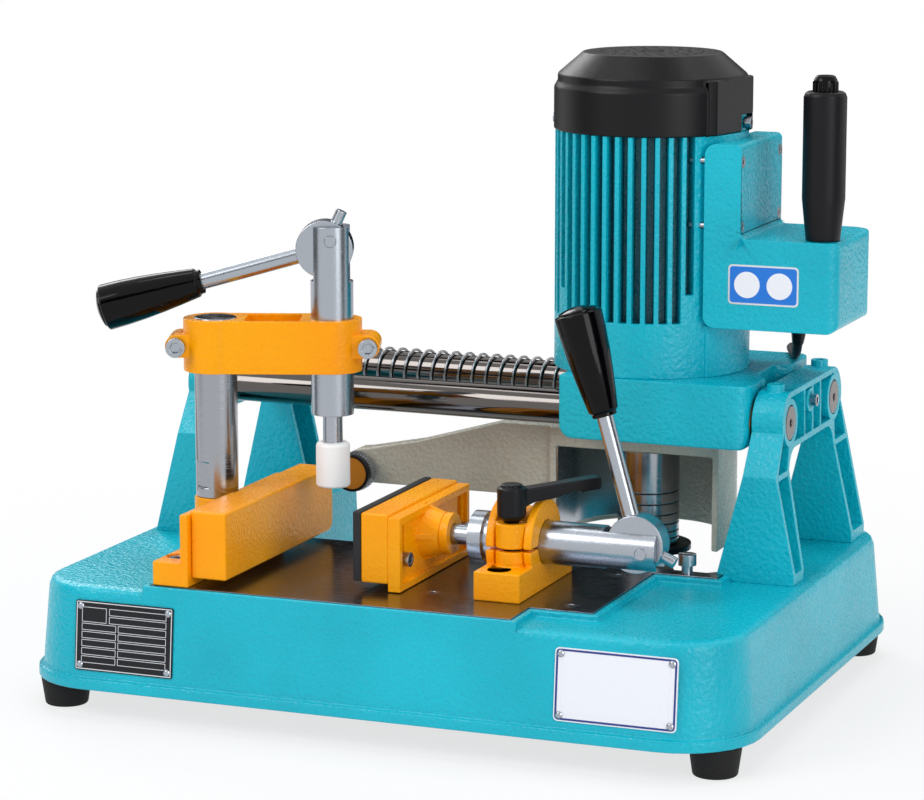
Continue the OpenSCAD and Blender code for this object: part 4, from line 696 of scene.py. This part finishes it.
# ridges set round an axis, added to the piece they stand on
def ridgeTree(name, finish):
    tree, first, last = newTree(name, {
        "Ridge": ("Object", None), "Count": ("Int", 24), "Radius": ("Float", 0.01),
        "Turn": ("Vector", None), "Place": ("Vector", None)})
    ridge = tree.nodes.new("GeometryNodeObjectInfo")
    ridge.inputs["As Instance"].default_value = True
    ring = tree.nodes.new("GeometryNodeMeshCircle")
    aim = tree.nodes.new("FunctionNodeAlignRotationToVector")
    aim.axis = "X"
    where = tree.nodes.new("GeometryNodeInputPosition")
    placed = tree.nodes.new("GeometryNodeInstanceOnPoints")
    move = tree.nodes.new("GeometryNodeTransform")
    both = tree.nodes.new("GeometryNodeJoinGeometry")
    tree.links.new(first.outputs["Ridge"], ridge.inputs["Object"])
    tree.links.new(first.outputs["Count"], ring.inputs["Vertices"])
    tree.links.new(first.outputs["Radius"], ring.inputs["Radius"])
    tree.links.new(ring.outputs[0], placed.inputs["Points"])
    tree.links.new(where.outputs[0], aim.inputs["Vector"])
    tree.links.new(aim.outputs[0], placed.inputs["Rotation"])
    tree.links.new(ridge.outputs["Geometry"], placed.inputs["Instance"])
    tree.links.new(placed.outputs[0], move.inputs["Geometry"])
    tree.links.new(first.outputs["Turn"], move.inputs["Rotation"])
    tree.links.new(first.outputs["Place"], move.inputs["Translation"])
    tree.links.new(first.outputs["Geometry"], both.inputs[0])
    tree.links.new(move.outputs[0], both.inputs[0])
    endTree(tree, both.outputs[0], last, finish)
    return tree


# power lead
cordSettings = {
    "diameter": 7 * mm,
    "sides": 12,
    "coilCentre": (128, 268),
    "coilRadii": (47, 40, 33),
    "stepsPerTurn": 28,
    "plugTurn": 135,
    "shift": (260, 360),
    "lift": (230, 285),
    "tie": {"angle": 200, "width": 8 * mm, "wall": 0.7 * mm},
    "exit": (214, 96, 260.5),
    "turnRadius": 28.5,
    "turnSide": 112,
    "turnSteps": (37, 38, 45, 54, 63, 72, 81),
    "route": [
        (201, 127, 232), (197.5, 137, 232), (194, 146, 232), (192, 154, 231), (191, 161, 228),
        (190, 167.5, 222.5), (190, 172.5, 212), (190, 180, 194), (191, 187, 175), (192, 194, 156),
        (193, 200, 138), (194, 206, 120), (195, 211, 103), (196, 215, 86), (196, 218, 70),
        (196, 221, 54), (195, 224, 39), (193, 228, 26), (190, 234, 15.5), (186, 242, 8.5),
        (181, 251, 4.8), (177, 260, 3.5), (175, 268, 3.5)],
    # (distance past the coil, height)
    "tail": [(8, 17.5), (16, 17.6), (23, 17.7), (29, 17.8), (35, 17.9), (42, 18)],
}
plugSettings = {
    # profiles of (radius, distance past the coil, corner radius)
    "radius": 18,
    "body": [(0, 44), (8, 44, 1.5), (15, 48, 4), (18, 58, 5),
             (18, 79.5, 1.5), (15, 80, 0.3), (14, 77), (0, 77)],
    "relief": [(0, 31), (4.6, 31, 0.8), (7, 45), (0, 45)],
    "pin": [(0, 76), (2.4, 76), (2.4, 99, 1.6), (0, 99)],
    "pinSpread": 19,
}


# the lead leaves the box straight down and turns to the back in an arc
def turnPoint(degrees):
    s = cordSettings
    x, y, z = s["exit"]
    a, side = math.radians(degrees), math.radians(s["turnSide"])
    out = s["turnRadius"] * (1 - math.cos(a))
    return (x + out * math.cos(side), y + out * math.sin(side), z - s["turnRadius"] * math.sin(a))


def ease(value, low, high):
    share = min(max((value - low) / (high - low), 0.0), 1.0)
    return share * share * (3 - 2 * share)


# turns from the outside in, then on them from the inside out; the end lies on the last turn
def coilPoints():
    s = cordSettings
    cx, cy = s["coilCentre"]
    bore = s["diameter"] / mm
    low, high = bore / 2, bore * 1.5
    turns = [(radius, low) for radius in s["coilRadii"]]
    turns += [(radius, high) for radius in s["coilRadii"][::-1]]
    points = []
    for turn, (radius, height) in enumerate(turns):
        last = turn == len(turns) - 1
        span = 360 + (s["plugTurn"] if last else 0)
        nextRadius, nextHeight = (radius, height + bore) if last else turns[turn + 1]
        start, end = s["lift"] if last else s["shift"]
        steps = round(s["stepsPerTurn"] * span / 360)
        for k in range(1, steps + 1):
            angle = span * k / steps
            move = ease(angle, start, end)
            r = radius + (nextRadius - radius) * move
            a = math.radians(angle)
            z = height + (nextHeight - height) * move
            points.append((cx + r * math.cos(a), cy + r * math.sin(a), z))
    return points


def plugFrame():
    s = cordSettings
    turn = math.radians(s["plugTurn"])
    cx, cy = s["coilCentre"]
    out = Vector((math.cos(turn), math.sin(turn), 0))
    along = Vector((-math.sin(turn), math.cos(turn), 0))
    return Vector((cx, cy, 0)) * mm + out * s["coilRadii"][0] * mm, out, along


# a strap round the whole bundle
def makeTie():
    s, tie = cordSettings, cordSettings["tie"]
    angle = math.radians(tie["angle"])
    cx, cy = s["coilCentre"]
    out = Vector((math.cos(angle), math.sin(angle), 0))
    along = Vector((-math.sin(angle), math.cos(angle), 0))
    middle = Vector((cx, cy, 0)) * mm
    reach = s["diameter"] / 2 + tie["wall"] / 2
    inside, outside = min(s["coilRadii"]) * mm - reach, max(s["coilRadii"]) * mm + reach
    box = (inside, outside, 0, 2 * s["diameter"] + tie["wall"])
    place = {"place": lambda u, v, d: middle + out * u + Vector((0, 0, v)) + along * d}
    strap = edging(place, box, tie["wall"], s["diameter"] / 2, -tie["width"] / 2, tie["width"] / 2)
    strap.name = "leadTie"
    return strap


def makePlug(start, out, along):
    s = plugSettings
    body, relief, pin = (filleted([[value * mm for value in corner] for corner in s[part]], closed=False)
                         for part in ("body", "relief", "pin"))
    centre = start + Vector((0, 0, s["radius"] * mm))
    shell = join("plug", [
        lathe("plugBody", body, centre, along), lathe("plugRelief", relief, centre, along, 32)])
    plug = addPiece(shell, blackMoulded, "base", ["mains_plug"])
    offsets = (-s["pinSpread"] / 2, s["pinSpread"] / 2)
    pins = join("plugPins", [lathe("pin", pin, centre + out * off * mm, along, 24) for off in offsets])
    return plug, addPiece(pins, brightCan, "base")


def makeCord():
    s = cordSettings
    start, out, along = plugFrame()
    tail = [start + along * t * mm + Vector((0, 0, z * mm)) for t, z in s["tail"]]
    arc = [turnPoint(a) for a in s["turnSteps"]]
    points = [Vector(p) * mm for p in arc + s["route"] + coilPoints()] + tail
    length = sum((b - a).length for a, b in zip(points, points[1:]))
    cord = grow("powerLead", sweepTree("leadSweep", cordSheath), pointMesh("leadLine", points, True),
                {"Radius": s["diameter"] / 2, "Sides": s["sides"]})
    smooth(cord.data)
    plug, pins = makePlug(start, out, along)
    tie = addPiece(makeTie(), blackMoulded, "base")
    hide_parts("mains_cord", "cord_coil")
    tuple(points[0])
    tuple(points[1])
    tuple(points[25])
    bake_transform(cord)
    print("power lead", round(length, 3), "m")


makeCord()


# castings and steel carried over
dressed = {
    # node: (finish, edge width in mm, segments)
    "base_casting": (teal, 1.2, 3),
    "table_plate": (ground, 0.3, 1),
    "rubber_feet": (footRubber, 1.5, 3),
    "left_bracket": (teal, 0.6, 2),
    "right_bracket": (teal, 0.6, 2),
    "front_guide_bar": (darkReflectionChrome, 1.0, 2),
    "rear_guide_bar": (darkReflectionChrome, 1.0, 2),
    "fixed_jaw_bracket": (orange, 1.2, 3),
    "fixed_jaw_block": (orange, 1.6, 3),
    "clamp_column": (turned, 0.8, 2),
    "clamp_block": (orange, 1.2, 3),
    "clamp_arm": (orange, 0.5, 2),
    "carriage_casting": (teal, 1.5, 3),
    "linear_bushes": (bronze, 0.4, 2),
    "motor_housing": (tealFinsSlotShade, 0.5, 2),
    "stator": (castIron, 0.4, 1),
    "motor_end_shield": (brightCan, 0.4, 1),
    "motor_bearings": (turned, 0.4, 1),
    "fan_cowl": (blackMoulded, 1.0, 3),
    "carriage_screws": (zinc, 0.3, 2),
    "control_box": (teal, 0.5, 2),
    "run_capacitor": (brightCan, 0.8, 2),
    "grip_tube": (zinc, 0.2, 1),
    "hand_grip": (gripRubber, 0.6, 3),
    "cable_gland": (blackMoulded, 0.4, 2),
    "chip_guard": (castGrey, 1.2, 3),
    "guard_liner": (zinc, 0.15, 1),
    "arbor_shaft": (turned, 0.5, 2),
    "rotor_core": (castIron, 0.3, 1),
    "cooling_fan": (blackMoulded, 0.3, 1),
    "spacer_rings": (turned, 0.25, 1),
    "end_flange": (blackSteel, 0.5, 2),
    "arm_screws": (zinc, 0.4, 2),
    "table_screws": (zinc, 0.3, 2),
    "frame_bolts": (zinc, 0.4, 2),
    "bar_set_screws": (zinc, 0.2, 1),
    "jaw_pad_screws": (zinc, 0.3, 2),
    "upper_clamp_tube": (zinc, 0.3, 2),
    "lower_clamp_tube": (zinc, 0.3, 2),
    "upper_cam_lever": (zinc, 0.6, 2),
    "lower_cam_lever": (zinc, 0.6, 2),
    "upper_plunger": (zinc, 0.5, 2),
    "lower_plunger": (zinc, 0.5, 2),
    "upper_lever_knob": (glossBlack, 0.4, 2),
    "lower_lever_knob": (glossBlack, 0.4, 2),
    "nylon_pad": (nylonWhite, 0.3, 2),
    "push_plate": (orange, 0.5, 2),
    "jaw_pad": (orange, 1.6, 3),
    "rubber_face": (jawRubber, 1.2, 3),
    "lock_lever": (blackMoulded, 1.0, 3),
}

for node, (finish, width, segments) in dressed.items():
    dress(node, finish, width, segments)
print("castings and steel dressed")


# return spring
springSettings = {
    "wire": 1.0 * mm,
    "wireSides": 8,
    "stepsPerTurn": 30,
    "pitch": 11 * mm,
    # how much shorter the carriage can press it
    "travel": 200 * mm,
}


def makeSpring():
    low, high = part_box("return_spring")
    s = springSettings
    radius = (high[2] - low[2]) / 2 - s["wire"]
    centre = ((low[1] + high[1]) / 2, (low[2] + high[2]) / 2)
    length = high[0] - low[0] - 2 * s["wire"]
    seed = pointMesh("springSeed", [(0, 0, 0)])
    spring = grow("returnSpring", coilTree("springCoil", springWire), seed, {
        "Wire": s["wire"], "Sides": s["wireSides"], "Turns": round(length / s["pitch"]) + 0.5,
        "Steps": s["stepsPerTurn"], "Radius": radius, "Length": length,
        "Place": (low[0] + s["wire"], centre[0], centre[1])})
    addPiece(spring, None, "base", ["return_spring"], 60)
    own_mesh(spring)


makeSpring()
print("spring wound")


# end stop, push button
stopSettings = {
    "rim": 2.2 * mm,
    "rimInset": 0.6 * mm,
    "sink": 0.8 * mm,
    "faceLength": 5 * mm,
    "bodyEnd": 15 * mm,
    "screw": 5 * mm,
    "ridges": 40,
    "ridge": 0.7 * mm,
    "ridgeSpan": (5.8 * mm, 8.4 * mm),
}


# a ridge of half-round section along z, standing out along x
def ridgeBar(name, width, height, long):
    outline = [(height * math.cos(a), width / 2 * math.sin(a))
               for a in (math.radians(-90 + 22.5 * k) for k in range(9))]
    bar = slab(name, [(-0.3 * mm, -width / 2)] + outline + [(-0.3 * mm, width / 2)], 0, long,
               lambda u, v, d: Vector((u, v, d)))
    bar.hide_render = True
    return bar


def makeStop():
    s = stopSettings
    low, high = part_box("end_stop")
    x, z, y = (low[0] + high[0]) / 2, (low[2] + high[2]) / 2, low[1]
    axis = {"origin": (x, y, z), "axis": (0, 1, 0)}
    outer = (high[0] - low[0]) / 2
    rim, core = outer - s["rimInset"], outer - s["ridge"]
    inner = rim - s["rim"]
    ring = lathe("stopRim", filleted([
        (inner, s["sink"]), (inner, 0, 0.4 * mm), (rim, 0, 1 * mm), (rim, s["faceLength"]),
        (0, s["faceLength"]), (0, s["sink"])], closed=False), **axis)
    disc = lathe("stopDisc", [
        (0, s["sink"]), (inner, s["sink"]), (inner, s["sink"] - 0.1 * mm), (0, s["sink"] - 0.3 * mm)], **axis)
    face = joinPainted("stopFace", [(ring, blackMoulded), (disc, stopCoat)])
    addPiece(face, None, "carriage", ["end_stop"])
    body = lathe("stopBody", filleted([
        (0, s["faceLength"]), (core, s["faceLength"], 0.5 * mm), (core, s["bodyEnd"], 0.8 * mm),
        (s["screw"] + 0.2 * mm, s["bodyEnd"] + 0.4 * mm, 0.5 * mm), (s["screw"], high[1] - y, 0.8 * mm),
        (0, high[1] - y)], closed=False), **axis)
    start, long = s["ridgeSpan"]
    ridge = ridgeBar("stopRidge", s["ridge"] * 1.6, s["ridge"], long)
    knurl = grow("stopKnurl", ridgeTree("stopKnurl", zinc), body.data, {
        "Ridge": ridge, "Count": s["ridges"], "Radius": core,
        "Turn": (-math.pi / 2, 0, 0), "Place": (x, y + start, z)})
    for spare in (body, ridge):
        bpy.data.objects.remove(spare)
    addPiece(knurl, None, "carriage")


buttonSettings = {
    "flutes": 16,
    "ridge": 0.8 * mm,
    # shares of the height
    "shoulder": 0.72,
    "ridgeLong": 0.62,
    "crown": 2.6 * mm,
}


def makeButton():
    s = buttonSettings
    low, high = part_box("push_button")
    x, y = (low[0] + high[0]) / 2, (low[1] + high[1]) / 2
    outer, h = (high[0] - low[0]) / 2, high[2] - low[2]
    core = outer - s["ridge"]
    body = lathe("buttonBody", filleted([
        (0, 0), (core, 0, 0.3 * mm), (core, h * s["shoulder"], 1 * mm), (outer - s["crown"], h, 2.4 * mm),
        (0, h)], closed=False), (x, y, low[2]))
    ridge = ridgeBar("buttonRidge", s["ridge"] * 2.2, s["ridge"], h * s["ridgeLong"])
    button = grow("pushButton", ridgeTree("buttonFlutes", glossBlack), body.data, {
        "Ridge": ridge, "Count": s["flutes"], "Radius": core, "Place": (x, y, low[2] + 0.3 * mm)})
    for spare in (body, ridge):
        bpy.data.objects.remove(spare)
    addPiece(button, None, bodyOf["push_button"], ["push_button"])


makeStop()
makeButton()
print("end stop and button turned")


# plates, label and rivets
plateSettings = {
    "relief": 0.12 * mm,
    "line": 0.4 * mm,
    # kept off the solid plate's own faces
    "gap": 0.02 * mm,
}
ratingSettings = {
    "corner": 1.6 * mm,
    "border": 0.8 * mm,
    "margin": (5 * mm, 4.5 * mm),
    "rows": 7,
    "rowGap": 0.9 * mm,
    "split": (-6 * mm, -4.5 * mm),
    # the square blank takes the left of the first rows
    "blank": {"rows": 2, "width": 19 * mm, "gap": 2 * mm},
}
badgeSettings = {
    "corner": 3 * mm,
    "border": {"inset": 0.9 * mm, "width": 1.3 * mm, "corner": 2.6 * mm},
    "field": {"inset": 5.5 * mm, "corner": 2 * mm},
}
labelSettings = {
    "corner": 3 * mm,
    "border": 1.3 * mm,
    # shares of the half sizes
    "disc": 0.66,
    "discPlace": 0.46,
}
rivetSettings = {
    "pin": 1.4 * mm,
    "head": 2.5 * mm,
    "crown": 1.6 * mm,
    "rise": 1.4 * mm,
    "sink": 5 * mm,
}


# the flat of a node that looks one way: middle, half sizes, thickness and axes
def flatOf(node, toward):
    mesh = nodes[node].data
    toward = Vector(toward)
    sums = {}
    for face in mesh.polygons:
        if face.normal.dot(toward) > 0.8:
            key = tuple(round(c, 1) for c in face.normal)
            sums[key] = sums.get(key, Vector()) + face.normal * face.area
    normal = max(sums.values(), key=lambda total: total.length).normalized()
    up = (Vector((0, 0, 1)) - normal * normal.z).normalized()
    right = up.cross(normal)
    spans = [(min(v.co.dot(axis) for v in mesh.vertices), max(v.co.dot(axis) for v in mesh.vertices))
             for axis in (right, up, normal)]
    middle = right * sum(spans[0]) / 2 + up * sum(spans[1]) / 2 + normal * spans[2][1]
    return {
        "place": lambda u, v, d: middle + right * u + up * v + normal * d,
        "half": ((spans[0][1] - spans[0][0]) / 2, (spans[1][1] - spans[1][0]) / 2),
        "thick": spans[2][1] - spans[2][0], "axes": (right, up, normal), "middle": middle}


def panel(flat, box, radius, low, high):
    return slab("panel", rectangle(*box, radius), low, high, flat["place"])


def shrink(flat, by):
    u, v = flat["half"]
    return (-u + by, u - by, -v + by, v - by)


# heights of the plate's ground and of what stands on it, from its front face
def levels():
    return -2 * plateSettings["relief"], -plateSettings["gap"]


def backing(flat, corner):
    base, _ = levels()
    gap = plateSettings["gap"]
    return panel(flat, shrink(flat, gap), corner, gap - flat["thick"], base)


def field(flat, box):
    return edging(flat, box, plateSettings["line"], 0.3 * mm, *levels()), plateSilver


def makeRatingPlate():
    s = ratingSettings
    flat = flatOf("rating_plate", (0, -1, 0))
    u, v = flat["half"]
    border = edging(flat, shrink(flat, s["border"]), plateSettings["line"] * 1.6, s["corner"] - s["border"],
                    *levels())
    parts = [(backing(flat, s["corner"]), plateBlack), (border, plateSilver)]
    sideMargin, topMargin = s["margin"]
    left, right, top = sideMargin - u, u - sideMargin, v - topMargin
    blank = s["blank"]
    step = 2 * top / s["rows"]
    for row in range(s["rows"]):
        high = top - row * step
        low = high - step + s["rowGap"]
        if row < blank["rows"]:
            spans = [(left + blank["width"] + blank["gap"], right)]
        else:
            spans = [(left, s["split"][0]), (s["split"][1], right)]
        parts += [field(flat, (x0, x1, low, high)) for x0, x1 in spans]
    parts.append(field(flat, (left, left + blank["width"], top - blank["rows"] * step + s["rowGap"], top)))
    addPiece(joinPainted("ratingPlate", parts), None, "base", ["rating_plate"], 20)


def makeBadge():
    s, border, middle = badgeSettings, badgeSettings["border"], badgeSettings["field"]
    flat = flatOf("front_badge", (0, -1, 0))
    line = edging(flat, shrink(flat, border["inset"]), border["width"], border["corner"], *levels())
    parts = [(backing(flat, s["corner"]), plateWhite), (line, plateBlue),
             (panel(flat, shrink(flat, middle["inset"]), middle["corner"], *levels()), plateWhite)]
    addPiece(joinPainted("frontBadge", parts), None, "base", ["front_badge"], 20)


def makeLabel():
    s = labelSettings
    flat = flatOf("box_label", (0, -1, 0))
    u, v = flat["half"]
    base, top = levels()
    ground = base + plateSettings["relief"] * 0.7
    parts = [(backing(flat, s["corner"]), plateSilver),
             (panel(flat, shrink(flat, s["border"]), 2.2 * mm, base, ground), labelBlue)]
    angles = [math.radians(5 * k) for k in range(72)]
    for side in (-1, 1):
        centre, r = side * u * s["discPlace"], v * s["disc"]
        outline = [(centre + r * math.cos(a), r * math.sin(a)) for a in angles]
        parts.append((slab("disc", outline, ground, top, flat["place"]), plateWhite))
    addPiece(joinPainted("boxLabel", parts), None, "carriage", ["box_label"], 20)


# middles of the separate bodies of a node
def islands(node):
    work = bmesh.new()
    work.from_mesh(nodes[node].data)
    bmesh.ops.remove_doubles(work, verts=work.verts, dist=1e-5)
    middles = []
    left = set(work.verts)
    while left:
        stack = [left.pop()]
        found = []
        while stack:
            vert = stack.pop()
            found.append(vert.co.copy())
            for edge in vert.link_edges:
                other = edge.other_vert(vert)
                if other in left:
                    left.discard(other)
                    stack.append(other)
        middles.append(sum(found, Vector()) / len(found))
    work.free()
    return middles


def makeRivets():
    s = rivetSettings
    flat = flatOf("rating_plate", (0, -1, 0))
    right, up, normal = flat["axes"]
    places = [p + normal * (flat["middle"] - p).dot(normal) for p in islands("plate_rivets")]
    head = lathe("rivetHead", filleted([
        (0, -s["sink"]), (s["pin"], -s["sink"], 0.3 * mm), (s["pin"], 0), (s["head"], 0),
        (s["head"], 0.35 * mm, 0.3 * mm), (s["crown"], s["rise"] - 0.25 * mm, 1.2 * mm), (0, s["rise"])],
        closed=False), sides=32)
    head.hide_render = True
    turn = Matrix((right, up, normal)).transposed().to_euler()
    rivets = grow("plateRivets", headTree("rivetSet", zinc), pointMesh("rivetPlaces", places),
                  {"Head": head, "Turn": tuple(turn)})
    bpy.data.objects.remove(head)
    addPiece(rivets, None, "base", ["plate_rivets"])


makeRatingPlate()
makeBadge()
makeLabel()
makeRivets()
print("plates and label set")
